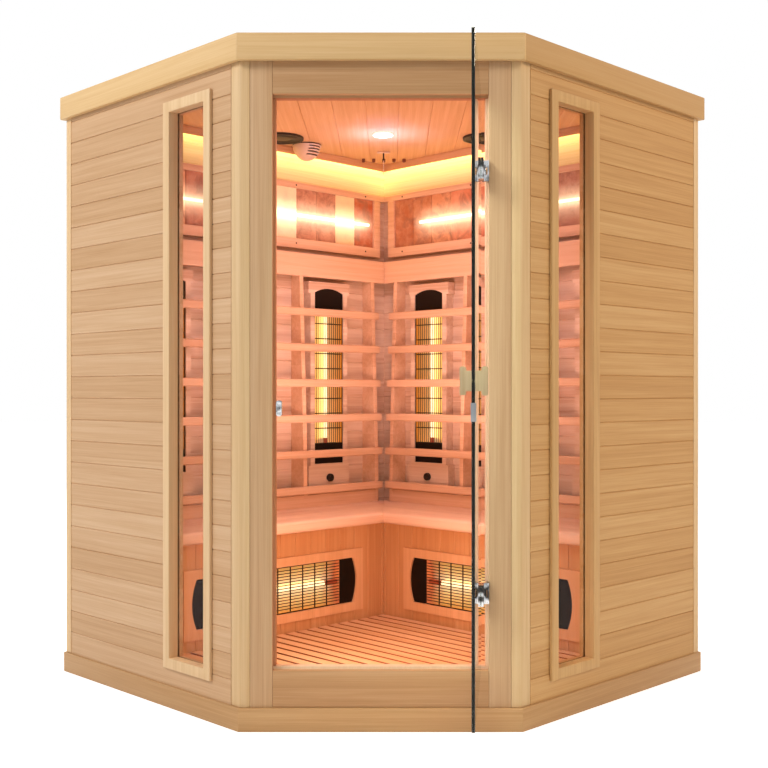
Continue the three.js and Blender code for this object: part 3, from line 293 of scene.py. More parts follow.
# Walls: horizontal tongue-and-groove hemlock boards, 70 mm to the joint, on the outside of the side walls and
# the inside of the back walls. Their grain follows each wall's own direction.
wall_tones = ("#B88E62", "#C8A078", "#D5B28C")
finish_node("wall_side_left", hemlock("hemlock_wall_board_left", wall_tones, turn=45, spread=0.09))
# the right wall's boards are painted a little darker and more golden than the left: painted shade on the side
# turned from the key lamp
finish_node("wall_side_right", hemlock("hemlock_wall_board_right", ("#B68650", "#C69861", "#D3AA76"),
                                       turn=-45, spread=0.09))
# the hidden strip light under the crown makes the top boards of the back walls glow yellow inside
half_side, wall_skin = 0.697, 0.006
crown_foot, glow_low, glow_high, corner_line = 1.72, 1.73, 1.838, 0.987
for side, turn in (("left", -45), ("right", 45)):
    lining = hemlock("hemlock_lining_board_" + side, ("#C09C7E", "#D8C0A6", "#E6D4BE"),
                     turn=turn, spread=0.11)
    tree = lining.node_tree
    axes = axes_of(lining, turn)
    rise = add_node(tree, "ShaderNodeMapRange", {
        "Value": axes["Z"], "From Min": glow_low, "From Max": glow_high, "To Min": 0.12, "To Max": 1.0})
    strength = rise.outputs[0]
    for place, limit, test in ((axes["Z"], crown_foot, "GREATER_THAN"),
                               (axes["Y"], half_side + wall_skin, "LESS_THAN"),
                               (axes_of(lining)["Y"], corner_line, "LESS_THAN")):
        within = add_node(tree, "ShaderNodeMath", {0: place, 1: limit}, operation=test)
        kept = add_node(tree, "ShaderNodeMath", {0: strength, 1: within.outputs[0]}, operation="MULTIPLY")
        strength = kept.outputs[0]
    surface = tree.nodes["Principled BSDF"]
    surface.inputs["Emission Color"].default_value = linear("#FFE27C")
    tree.links.new(strength, surface.inputs["Emission Strength"])
    # the outer face of the same boards is as brown as the side walls
    outside = add_node(tree, "ShaderNodeMath", {
        0: axes["Y"], 1: half_side + wall_skin}, operation="GREATER_THAN")
    lay_over(lining, outside.outputs[0], "#ECD2B4", "MULTIPLY")
    finish_node("wall_back_" + side, lining)

# Posts, door frame and window frames: straight-grained hemlock, planed square with eased edges.
# Posts, stiles and window frames stand on end; the rails lie across between the stiles.
upright = {"grain": "Z", "across": "X", "board": 0.9, "start": -0.45}
post_board = hemlock("hemlock_corner_post", ("#C6A070", "#D4B284", "#DEC096"), **upright)
stile_board = hemlock("hemlock_door_stile", ("#B48C64", "#C49E76", "#D0AE88"), **upright)
rail_board = hemlock("hemlock_door_rail", ("#A87C50", "#B88C60", "#C69E74"), board=0.9, start=-0.4)
trim_board = hemlock("hemlock_window_trim", ("#D2AC7E", "#E0BE92", "#E8CCA6"), **upright)
# the stop strip is nailed into the frame; its two tones are painted shade and light: brown in the rebate's
# shade on the catch side and at the head, pale where light falls, by the hinges and on the sill
stop_in_painted_shade = hemlock("hemlock_brown_stop", ("#9A6240", "#AC724C", "#BA8058"), **upright)
stop_in_painted_light = hemlock("hemlock_pale_stop", ("#DDB892", "#E6C4A0", "#EED0AE"), **upright)
stop_face, stop_reach, stop_low, stop_high = -0.646, 0.3055, 0.1, 1.7315


def line_stop(piece, material):
    piece.data.materials.append(material)
    for face in piece.data.polygons:
        x, y, z = face.center
        face.material_index = 1 if y > stop_face and abs(x) < stop_reach and stop_low < z < stop_high else 0


# the right window frame is painted darker and more golden than the left: painted shade on the side turned
# from the key lamp
right_trim_in_painted_shade = hemlock("hemlock_golden_trim", ("#BC905A", "#CCA26C", "#D8B280"), **upright)
for side, stop_wood in (("left", stop_in_painted_shade), ("right", stop_in_painted_light)):
    eased("corner_post_" + side, post_board, 0.003)
    line_stop(eased("front_stile_" + side, stile_board, 0.0015), stop_wood)
    eased("window_frame_" + side, trim_board if side == "left" else right_trim_in_painted_shade, 0.0015)
# the head rail's stop takes the painted shade, the sill's stop the painted light
line_stop(eased("front_head_rail", rail_board, 0.0015), stop_in_painted_shade)
line_stop(eased("front_bottom_rail", rail_board, 0.0015), stop_in_painted_light)

# Corner battens: a thin hemlock strip on each outer back corner covers the ends of the wall boards.
# Planed, eased and glued on; a little paler than the boards.
batten_width, batten_proud, cabin_corner = 0.028, 0.002, 1.0451
wall_corners = [corner[2] for corner in nodes["wall_side_left"].bound_box]


def settle(piece):
    pick(piece)
    bpy.ops.object.transform_apply(location=True, rotation=True, scale=True)


def shaped_box(name, low, high):
    bpy.ops.mesh.primitive_cube_add(size=1, location=[(a + b) / 2 for a, b in zip(low, high)])
    piece = bpy.context.object
    piece.name = name
    piece.scale = [abs(b - a) for a, b in zip(low, high)]
    settle(piece)
    return piece


for side, sign in (("left", -1), ("right", 1)):
    batten = shaped_box("corner_batten_" + side, (0, -batten_proud, min(wall_corners) + 0.001),
                        (-sign * batten_width, batten_proud / 2, max(wall_corners) - 0.001))
    apply_modifier(batten, "BEVEL", width=0.0008, segments=2)
    batten.data.materials.append(trim_board)
    batten.rotation_euler = (0, 0, math.radians(sign * 45))
    batten.location = (sign * cabin_corner, 0, 0)
    settle(batten)
    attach(batten, "cabin")


# Window panes: 6 mm clear float glass, held in the frames from inside.
# Light passes to the inside; the polished faces mirror little of the white room, so the warm inside shows.
def float_glass(name, tint, ior):
    material, tree, place = new_material(name)
    smear = add_node(tree, "ShaderNodeTexNoise", {"Vector": place, "Scale": 1 / 0.12, "Detail": 3.0})
    gloss = add_node(tree, "ShaderNodeMapRange", {"Value": smear.outputs[0], "To Min": 0.0, "To Max": 0.03})
    clear = add_node(tree, "ShaderNodeBsdfPrincipled", {
        "Base Color": linear(tint), "Roughness": gloss.outputs[0], "IOR": ior, "Transmission Weight": 1.0})
    through = add_node(tree, "ShaderNodeBsdfTransparent", {"Color": linear(tint)})
    path = add_node(tree, "ShaderNodeLightPath")
    both = add_node(tree, "ShaderNodeMixShader", {
        0: path.outputs["Is Shadow Ray"], 1: clear.outputs[0], 2: through.outputs[0]})
    add_node(tree, "ShaderNodeOutputMaterial", {"Surface": both.outputs[0]})
    return material


window_glass = float_glass("clear_window_glass", "#DEDCDA", 1.1)
for side in ("left", "right"):
    finish_node("window_pane_" + side, window_glass)

# Roof: one panel of hemlock ceiling boards that run from front to back, 110 mm to the joint, and a cornice
# of golden boards mitred round its edge. The control box on it is a bent steel case.
finish_node("roof_panel", hemlock("hemlock_ceiling_board", ("#C0925F", "#CEA574", "#DAB78A"),
                                  grain="Y", across="X", board=0.11, start=-cabin_corner))
cornice_board = hemlock("hemlock_cornice_board", ("#C89C64", "#D8B27C", "#E2C08E"),
                        turn="ring", board=0.9, start=-0.4)
# the right hand cornice plank is painted darker and more golden: painted shade, as it is turned from the key
# lamp
front_cornice_half = 0.3945
tree = cornice_board.node_tree
axes = axes_of(cornice_board)
on_right = add_node(tree, "ShaderNodeMath", {0: axes["X"], 1: front_cornice_half}, operation="GREATER_THAN")
in_front = add_node(tree, "ShaderNodeMath", {0: axes["Y"], 1: 0.0}, operation="LESS_THAN")
shaded_right_plank = add_node(tree, "ShaderNodeMath", {
    0: on_right.outputs[0], 1: in_front.outputs[0]}, operation="MULTIPLY")
painted_shade_share = add_node(tree, "ShaderNodeMath", {0: shaded_right_plank.outputs[0], 1: 0.5}, operation="MULTIPLY")
lay_over(cornice_board, painted_shade_share.outputs[0], "#A8743A")
eased("cornice", cornice_board, 0.003)

# Brushed steel: drawn one way into fine lines, drawn here 0.4 mm apart; a soft grey shine.
steel, tree, place = new_material("brushed_stainless_steel")
steel_lines = add_node(tree, "ShaderNodeVectorMath", {0: place, 1: (40, 40, 2500)}, operation="MULTIPLY")
brush = add_node(tree, "ShaderNodeTexNoise", {"Vector": steel_lines.outputs[0], "Scale": 1.0, "Detail": 2.0})
brush_gloss = add_node(tree, "ShaderNodeMapRange", {
    "Value": brush.outputs[0], "To Min": 0.28, "To Max": 0.48})
brush_bump = add_node(tree, "ShaderNodeBump", {
    "Height": brush.outputs[0], "Strength": 0.15, "Distance": 0.0002})
steel_surface = add_node(tree, "ShaderNodeBsdfPrincipled", {
    "Base Color": linear("#8E9092"), "Metallic": 1.0, "Roughness": brush_gloss.outputs[0],
    "Normal": brush_bump.outputs[0]})
add_node(tree, "ShaderNodeOutputMaterial", {"Surface": steel_surface.outputs[0]})
eased("control_box", steel, 0.0015)

# Door: one sheet of 8 mm toughened glass with polished edges; clamps and pulls cover its drilled holes.
# Seen along the sheet the free edge looks black-green, because the light has a long way through it.
door_glass = float_glass("clear_door_glass", "#EEF6F2", 1.45)


# a polished, moulded or sprayed skin: two close tones in soft patches, with a relief where they are felt
def mottled(name, patch_size, detail, tones, finish, relief=None):
    material, tree, place = new_material(name)
    patch = add_node(tree, "ShaderNodeTexNoise", {"Vector": place, "Scale": 1 / patch_size, "Detail": detail})
    tone = add_node(tree, "ShaderNodeMix", {
        "Factor": patch.outputs[0], "A": linear(tones[0]), "B": linear(tones[1])}, data_type="RGBA")
    surface = add_node(tree, "ShaderNodeBsdfPrincipled", {"Base Color": tone.outputs["Result"], **finish})
    if relief:
        bump = add_node(tree, "ShaderNodeBump", {
            "Height": patch.outputs[0], "Strength": relief[0], "Distance": relief[1]})
        tree.links.new(bump.outputs[0], surface.inputs["Normal"])
    add_node(tree, "ShaderNodeOutputMaterial", {"Surface": surface.outputs[0]})
    return material


edge_glass = mottled("dark_glass_edge", 0.03, 2.0, ("#0B0F08", "#171D12"), {"Roughness": 0.3, "IOR": 1.3})
# the hinge edge is painted pale: a painted highlight of the light caught in the polished edge
edge_painted_highlight = mottled("glass_edge_painted_highlight", 0.03, 2.0, ("#E8D8C0", "#F6EADA"), {"Roughness": 0.25, "IOR": 1.5})
pivot = frame["joints"][0]["pos_m"]
door_turn = math.radians(-frame["joints"][0]["range_deg"][0])
pane_low, pane_high = (-0.5742, 0.008, 0.169), (0.007, 0.016, 1.734)
door_pane = shaped_box("door_pane", pane_low, pane_high)
apply_modifier(door_pane, "BEVEL", width=0.0018, segments=1)
for material in (door_glass, edge_glass, edge_painted_highlight):
    door_pane.data.materials.append(material)
for face in door_pane.data.polygons:
    on_free_edge = face.normal.x < -0.9 or abs(face.normal.z) > 0.9
    face.material_index = 1 if on_free_edge else 2 if face.normal.x > 0.5 else 0
door_pane.rotation_euler = (0, 0, door_turn)
door_pane.location = (pivot[0], pivot[1], 0)
settle(door_pane)
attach(door_pane, "door")
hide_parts("door_glass")

# Door fittings: cast and chromed hinge plates and clamps, a chromed magnet catch, a folded steel strike, and
# two pulls cut from pale hemlock. Chrome is a grey mirror with faint wipe marks.
chrome, tree, place = new_material("polished_chrome")
wipe = add_node(tree, "ShaderNodeTexNoise", {"Vector": place, "Scale": 1 / 0.006, "Detail": 4.0})
wipe_gloss = add_node(tree, "ShaderNodeMapRange", {"Value": wipe.outputs[0], "To Min": 0.06, "To Max": 0.16})
# it mirrors dark and bright parts of the room by turns, here in soft patches of about 25 mm
mirror = add_node(tree, "ShaderNodeTexNoise", {"Vector": place, "Scale": 1 / 0.025, "Detail": 1.0})
mirrored = add_node(tree, "ShaderNodeMapRange", {
    "Value": mirror.outputs[0], "From Min": 0.42, "From Max": 0.58})
chrome_tone = add_node(tree, "ShaderNodeMix", {
    "Factor": mirrored.outputs[0], "A": linear("#403E3C"), "B": linear("#CCCED0")}, data_type="RGBA")
wipe_bump = add_node(tree, "ShaderNodeBump", {"Height": wipe.outputs[0], "Strength": 0.4, "Distance": 0.0008})
chrome_surface = add_node(tree, "ShaderNodeBsdfPrincipled", {
    "Base Color": chrome_tone.outputs["Result"], "Metallic": 1.0, "Roughness": wipe_gloss.outputs[0],
    "Normal": wipe_bump.outputs[0]})
add_node(tree, "ShaderNodeOutputMaterial", {"Surface": chrome_surface.outputs[0]})
for place_name in ("upper", "lower"):
    eased("hinge_plate_" + place_name, chrome, 0.0008)
    eased("hinge_clamp_" + place_name, chrome, 0.0012, "door")
eased("jamb_catch", chrome, 0.0012)
eased("strike_clip", steel, 0.0004, "door")
pull_wood = hemlock("hemlock_door_pull", ("#B8A078", "#C6AE86", "#D2BC98"), **upright)
for face_name in ("outer", "inner"):
    eased("handle_" + face_name, pull_wood, 0.002, "door")

# Bench: hemlock boards laid along each wall with a rounded front edge, on upright boards.
# A moulded frame in each front holds a heater.
bench_tones = ("#D4B092", "#E2C2A6", "#ECD0B8")
front_tones = ("#B98A5A", "#C89B6B", "#D5AD80")
moulding_out = 0.341
for side, turn in (("left", -45), ("right", 45)):
    seat_board = hemlock("hemlock_seat_board_" + side, bench_tones,
                         turn=turn, grain="X", across="Y", board=0.098)
    eased("bench_top_" + side, seat_board, 0.0015)
    bench_front = hemlock("hemlock_bench_front_" + side, front_tones,
                          turn=turn, grain="Z", across="X", start=0.0)
    # the moulding round the heater stands 12 mm proud of the boards and is paler
    tree = bench_front.node_tree
    proud = add_node(tree, "ShaderNodeMath", {
        0: axes_of(bench_front, turn)["Y"], 1: half_side - moulding_out}, operation="LESS_THAN")
    paler = add_node(tree, "ShaderNodeMath", {0: proud.outputs[0], 1: 0.28}, operation="MULTIPLY")
    lay_over(bench_front, paler.outputs[0], "#F0CCA4")
    finish_node("bench_front_" + side, bench_front)

# Backrests and crowns: shaped uprights, a foot rail, six slats and a head board on each wall, and a moulding
# under the ceiling. The slats are planed smooth and their front edges are chamfered.
for side, turn in (("left", -45), ("right", 45)):
    finish_node("backrest_" + side, hemlock("hemlock_slat_" + side, ("#CAA07C", "#DAB692", "#E6C6A6"),
                                            turn=turn, board=0.1374, start=0.478))
    crown_board = hemlock("hemlock_crown_" + side, ("#BA8C5E", "#CA9E70", "#D6AE82"),
                          turn=turn, board=0.9, start=0.0)
    eased("crown_" + side, crown_board, 0.001)


# Heaters: a black enamelled steel tray with an arched cap, a curved gold reflector, one quartz tube and a
# welded wire guard. Six stand in the back walls and two lie in the bench fronts.
def glow(name, colour, strength, grain, base="#FFF1D8"):
    material, tree, place = new_material(name)
    patch = add_node(tree, "ShaderNodeTexNoise", {"Vector": place, "Scale": 1 / grain, "Detail": 1.0})
    power = add_node(tree, "ShaderNodeMapRange", {
        "Value": patch.outputs[0], "To Min": 0.8 * strength, "To Max": 1.2 * strength})
    surface = add_node(tree, "ShaderNodeBsdfPrincipled", {
        "Base Color": linear(base), "Roughness": 0.4, "Emission Color": linear(colour),
        "Emission Strength": power.outputs[0]})
    add_node(tree, "ShaderNodeOutputMaterial", {"Surface": surface.outputs[0]})
    return material


# stove enamel: sprayed and baked, near black, with an orange-peel skin of about 1.5 mm
enamel = mottled("black_stove_enamel", 0.0015, 2.0, ("#0C0706", "#160E0B"),
                 {"Roughness": 0.5, "IOR": 1.5, "Specular IOR Level": 0.2}, (0.2, 0.0002))
root_half = math.sqrt(0.5)
inner_corner = 2 * half_side * root_half
trough_depth = 0.031


# rolled reflector sheet: gold-tinted aluminium with a slight ripple, painted with its reflection of the tube:
# palest in the bottom of the trough, where it mirrors the tube, and brown up its sides; past the tube's cold
# end it mirrors only dull red. The painted reflection also glows, a painted glow.
def reflector_sheet(name, trough_bottom, red_from, red_to, strength):
    material, tree, place = new_material(name)
    ripple = add_node(tree, "ShaderNodeTexNoise", {"Vector": place, "Scale": 1 / 0.01, "Detail": 2.0})
    gloss = add_node(tree, "ShaderNodeMapRange", {"Value": ripple.outputs[0], "To Min": 0.3, "To Max": 0.42})
    axes = add_node(tree, "ShaderNodeSeparateXYZ", {0: place})
    aside = add_node(tree, "ShaderNodeMath", {0: axes.outputs["X"]}, operation="ABSOLUTE")
    ahead = add_node(tree, "ShaderNodeMath", {0: inner_corner, 1: axes.outputs["Y"]}, operation="SUBTRACT")
    away = add_node(tree, "ShaderNodeMath", {0: ahead.outputs[0], 1: aside.outputs[0]}, operation="SUBTRACT")
    along = add_node(tree, "ShaderNodeMath", {0: ahead.outputs[0], 1: aside.outputs[0]}, operation="ADD")
    height = add_node(tree, "ShaderNodeMapRange", {
        "Value": away.outputs[0], "From Min": trough_bottom / root_half,
        "From Max": (trough_bottom + trough_depth) / root_half})
    # painted reflection of the glowing tube, from the trough's bottom up its sides
    heat = add_node(tree, "ShaderNodeValToRGB", {"Fac": height.outputs[0]})
    heat.color_ramp.elements[0].color = linear("#FFE8B0")
    heat.color_ramp.elements[1].color = linear("#8A5424")
    for position, colour in ((0.1, "#F6CE88"), (0.32, "#E4B468"), (0.55, "#C88C44")):
        heat.color_ramp.elements.new(position).color = linear(colour)
    cold = add_node(tree, "ShaderNodeMapRange", {
        "Value": along.outputs[0], "From Min": red_from / root_half, "From Max": red_to / root_half,
        "To Min": 1.0, "To Max": 0.0})
    seen = add_node(tree, "ShaderNodeMix", {
        "Factor": cold.outputs[0], "A": heat.outputs[0], "B": linear("#B4663E")}, data_type="RGBA")
    surface = add_node(tree, "ShaderNodeBsdfPrincipled", {
        "Base Color": seen.outputs["Result"], "Metallic": 1.0, "Roughness": gloss.outputs[0],
        "Emission Color": seen.outputs["Result"], "Emission Strength": strength})
    add_node(tree, "ShaderNodeOutputMaterial", {"Surface": surface.outputs[0]})
    return material


# steel browned in blotches of about 2 mm, for the guard wires and the screws; on the rim of the ioniser its
# darkness is painted shade
browned_steel_and_shade = mottled("browned_steel_and_shade", 0.002, 2.0, ("#200E06", "#3A1C0C"),
                        {"Metallic": 0.2, "Roughness": 0.55})
tube_glow = glow("glowing_quartz_tube", "#FFE9AE", strength=1.2, grain=0.02)
tube_end = glow("dull_red_tube_end", "#B8502C", strength=0.35, grain=0.02, base="#8A3A20")


def wire(name, radius, start, end, sides=8):
    run = [b - a for a, b in zip(start, end)]
    length = math.sqrt(sum(c * c for c in run))
    bpy.ops.mesh.primitive_cylinder_add(vertices=sides, radius=radius, depth=length,
                                        location=[(a + b) / 2 for a, b in zip(start, end)])
    piece = bpy.context.object
    piece.name = name
    piece.rotation_euler = (0, math.atan2(math.hypot(run[0], run[1]), run[2]), math.atan2(run[1], run[0]))
    settle(piece)
    smooth(piece, 50)
    return piece


def join_into(piece, others):
    bpy.ops.object.select_all(action="DESELECT")
    for other in others:
        other.select_set(True)
    piece.select_set(True)
    bpy.context.view_layer.objects.active = piece
    bpy.ops.object.join()


def unselect_mesh():
    bpy.ops.object.mode_set(mode="EDIT")
    bpy.ops.mesh.select_all(action="DESELECT")
    bpy.ops.object.mode_set(mode="OBJECT")


def split_across(piece, reach, cuts):
    unselect_mesh()
    for edge in piece.data.edges:
        a, b = (piece.data.vertices[i].co for i in edge.vertices)
        edge.select = abs(a.x - b.x) > reach
    bpy.ops.object.mode_set(mode="EDIT")
    bpy.ops.mesh.select_mode(type="EDGE")
    bpy.ops.mesh.subdivide(number_cuts=cuts)
    bpy.ops.object.mode_set(mode="OBJECT")


def repeat(piece, count, step):
    apply_modifier(piece, "ARRAY", count=count, use_relative_offset=False, use_constant_offset=True,
                   constant_offset_displace=step)


heater_depth, tray_back, tray_wall, cap, arch, trough = 0.036, 0.005, 0.004, 0.08, 0.018, 0.016
tube_radius, tube_middle, guard_front, guard_back, guard_reach = 0.008, 0.0176, 0.0335, 0.0305, 0.002


def heater(name, half, length, arched_start, dark_end, long_wires, cross_wires, wire_radius, reflector):
    tray = shaped_box(name, (-half, 0, 0), (half, heater_depth, length))
    split_across(tray, half, 23)
    for vertex in tray.data.vertices:
        drop = arch * (vertex.co.x / half) ** 2
        if vertex.co.z > length / 2:
            vertex.co.z -= drop
        elif arched_start:
            vertex.co.z += drop
    inner = half - tray_wall
    past_front = 0.1
    cutter = shaped_box("heater_pocket", (-inner, tray_back, cap), (inner, past_front, length - cap))
    split_across(cutter, inner, 23)
    for vertex in cutter.data.vertices:
        if vertex.co.y < past_front / 2:
            vertex.co.y += trough * (vertex.co.x / inner) ** 2
    for material in (enamel, reflector, tube_glow, tube_end):
        tray.data.materials.append(material)
    cutter.data.materials.append(enamel)
    apply_modifier(tray, "BOOLEAN", operation="DIFFERENCE", object=cutter, solver="EXACT")
    bpy.data.objects.remove(cutter)
    # the lying heater's reflector is turned up at its ends, the standing one's stops at black caps
    near = 0.001
    for face in tray.data.polygons:
        x, y, z = face.center
        in_pocket = abs(x) < inner + near / 2 and cap - near < z < length - cap + near
        lined = in_pocket and tray_back - near < y < heater_depth - near
        face.material_index = 1 if lined and (arched_start or abs(face.normal.z) < 0.5) else 0
    apply_modifier(tray, "BEVEL", width=0.0012, segments=2, limit_method="ANGLE")
    smooth(tray, 35)

    # the guard's wires are about three millimetres thick: the long ones lie in front of the cross ones
    gap = 2 * inner / (long_wires + 1)
    bars = wire("guard_long", wire_radius, (gap - inner, guard_front, cap - guard_reach),
                (gap - inner, guard_front, length - cap + guard_reach))
    repeat(bars, long_wires, (gap, 0, 0))
    step = (length - 2 * cap) / (cross_wires + 1)
    rungs = wire("guard_cross", wire_radius + 0.0008, (-inner - 0.001, guard_back, cap + step),
                 (inner + 0.001, guard_back, cap + step))
    repeat(rungs, cross_wires, (0, 0, step))
    for guard in (bars, rungs):
        guard.data.materials.append(browned_steel_and_shade)

    # the tube glows between two dull ends that run into the caps
    low, high = cap + dark_end, length - cap - dark_end
    tubes = []
    for bottom, top, look in ((low, high, tube_glow), (cap - guard_reach, low, tube_end),
                              (high, length - cap + guard_reach, tube_end)):
        tube = wire("quartz_tube", tube_radius, (0, tube_middle, bottom), (0, tube_middle, top), sides=24)
        tube.data.materials.append(look)
        tubes.append(tube)
    join_into(tray, [bars, rungs] + tubes)
    return tray


def copy_of(piece, name):
    made = piece.copy()
    made.data = piece.data.copy()
    made.name = name
    bpy.context.scene.collection.objects.link(made)
    return made


wall_turn = {"left": math.radians(225), "right": math.radians(135)}
wall_sign = {"left": 1, "right": -1}


def on_back_wall(side, along, out, height):
    sign = -wall_sign[side]
    return (sign * (along - out) * root_half, inner_corner - (along + out) * root_half, height)


def hang(piece, side, along, out, height):
    piece.location = on_back_wall(side, along, out, height)
    piece.rotation_euler = (0, 0, wall_turn[side])
    settle(piece)


last_heater, seat_gap, heater_bottom = 1.096, 0.0003, 0.643
lying_middle, lying_half, lying_out, lying_height = 0.851, 0.361, 0.31, 0.239
standing_sheet = reflector_sheet("gold_reflector_sheet", tray_back + seat_gap,
                                 red_from=-1.0, red_to=-0.9, strength=0.32)
standing = heater("heater_standing", half=0.075, length=0.689, arched_start=False, dark_end=0.02,
                  long_wires=12, cross_wires=8, wire_radius=0.0012, reflector=standing_sheet)
lying_sheet = reflector_sheet("gold_reflector_sheet_of_bench", lying_out + tray_back + seat_gap,
                              red_from=0.57, red_to=0.64, strength=0.7)
lying = heater("heater_lying", half=0.081, length=0.722, arched_start=True, dark_end=0.06,
               long_wires=14, cross_wires=9, wire_radius=0.0016, reflector=lying_sheet)
lying.rotation_euler = (0, math.radians(-90), 0)
settle(lying)
heater_places = {}
for side, first in (("left", 0.344), ("right", 0.291)):
    heater_places[side] = [first + number * (last_heater - first) / 2 for number in range(3)]
    for number, along in enumerate(heater_places[side], 1):
        piece = copy_of(standing, f"heater_back_{side}_{number}_dressed")
        hang(piece, side, along, seat_gap, heater_bottom)
        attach(piece, "cabin")
        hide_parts(f"heater_back_{side}_{number}")
    piece = copy_of(lying, f"heater_bench_{side}_dressed")
    hang(piece, side, lying_middle + wall_sign[side] * lying_half, lying_out, lying_height)
    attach(piece, "cabin")
    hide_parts(f"heater_bench_{side}")
bpy.data.objects.remove(standing)
bpy.data.objects.remove(lying)

# Dimmer knobs: round black plastic caps with a fluted skirt, a domed top and a raised pointer, one on the
# foot board of each heater surround. Moulded in a spark-eroded tool, so the skin has a fine matt grain.
black_plastic = mottled("black_moulded_plastic", 0.0006, 1.0, ("#18120E", "#241C17"),
                        {"Roughness": 0.5, "IOR": 1.5}, (0.2, 0.0001))
knob_radius, knob_depth, knob_out, knob_height, flutes = 0.015, 0.012, 0.0403, 0.587, 14
knob_shape = wire("knob_shape", knob_radius, (0, 0, 0), (0, knob_depth, 0), sides=4 * flutes)
for vertex in knob_shape.data.vertices:
    turn = math.atan2(vertex.co.z, vertex.co.x)
    narrowed = 1 - 0.04 * (1 + math.cos(flutes * turn)) / 2
    vertex.co.x *= narrowed
    vertex.co.z *= narrowed
unselect_mesh()
for face in knob_shape.data.polygons:
    face.select = face.normal.y > 0.9
bpy.ops.object.mode_set(mode="EDIT")
bpy.ops.mesh.select_mode(type="FACE")
for inset, lift in ((0.0012, 0.0008), (0.004, 0.0003), (0.004, 0.0001)):
    bpy.ops.mesh.inset(thickness=inset)
    bpy.ops.transform.translate(value=(0, lift, 0))
bpy.ops.object.mode_set(mode="OBJECT")
pointer = shaped_box("pointer", (-0.001, 0.011, 0.001), (0.001, 0.014, 0.0126))
apply_modifier(pointer, "BEVEL", width=0.0004, segments=2)
join_into(knob_shape, [pointer])
smooth(knob_shape, 40)
knob_shape.data.materials.append(black_plastic)
for side in ("left", "right"):
    for number, along in enumerate(heater_places[side], 1):
        knob = copy_of(knob_shape, f"knob_{side}_{number}")
        hang(knob, side, along, knob_out, knob_height)
        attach(knob, f"dimmer_knob_{side}_{number}")
        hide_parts(f"dimmer_knob_{side}_{number}")
bpy.data.objects.remove(knob_shape)

# Salt wall: sawn salt tiles about 102 mm wide, cream, orange, red and brown-pink with cloudy veins, and a
# frosted tube lamp in front of them. The stone lets light in, so a soft band glows along the lamp.
salt_low, salt_high, lamp_height, lamp_out, lamp_radius = 1.519, 1.714, 1.609, 0.026, 0.006
tile_width, tile_start, tile_count = 0.1025, 0.08, 13
stones = {
    "left": ("#B0501E", "#EEDCAA", "#B4785A", "#B87E60", "#F4E4BC", "#C08860", "#A8745A",
             "#F0D0A0", "#B06848", "#E8A878", "#F4DDA8", "#C86848", "#E8B888"),
    "right": ("#A85E34", "#B06A3C", "#C8885A", "#C87850", "#B86444", "#C89870", "#A8644A",
              "#F0DCAE", "#A8745A", "#E08A5C", "#F0D0A0", "#C86848", "#E8A878"),
}
lamp_start = {"left": 0.114, "right": 0.232}


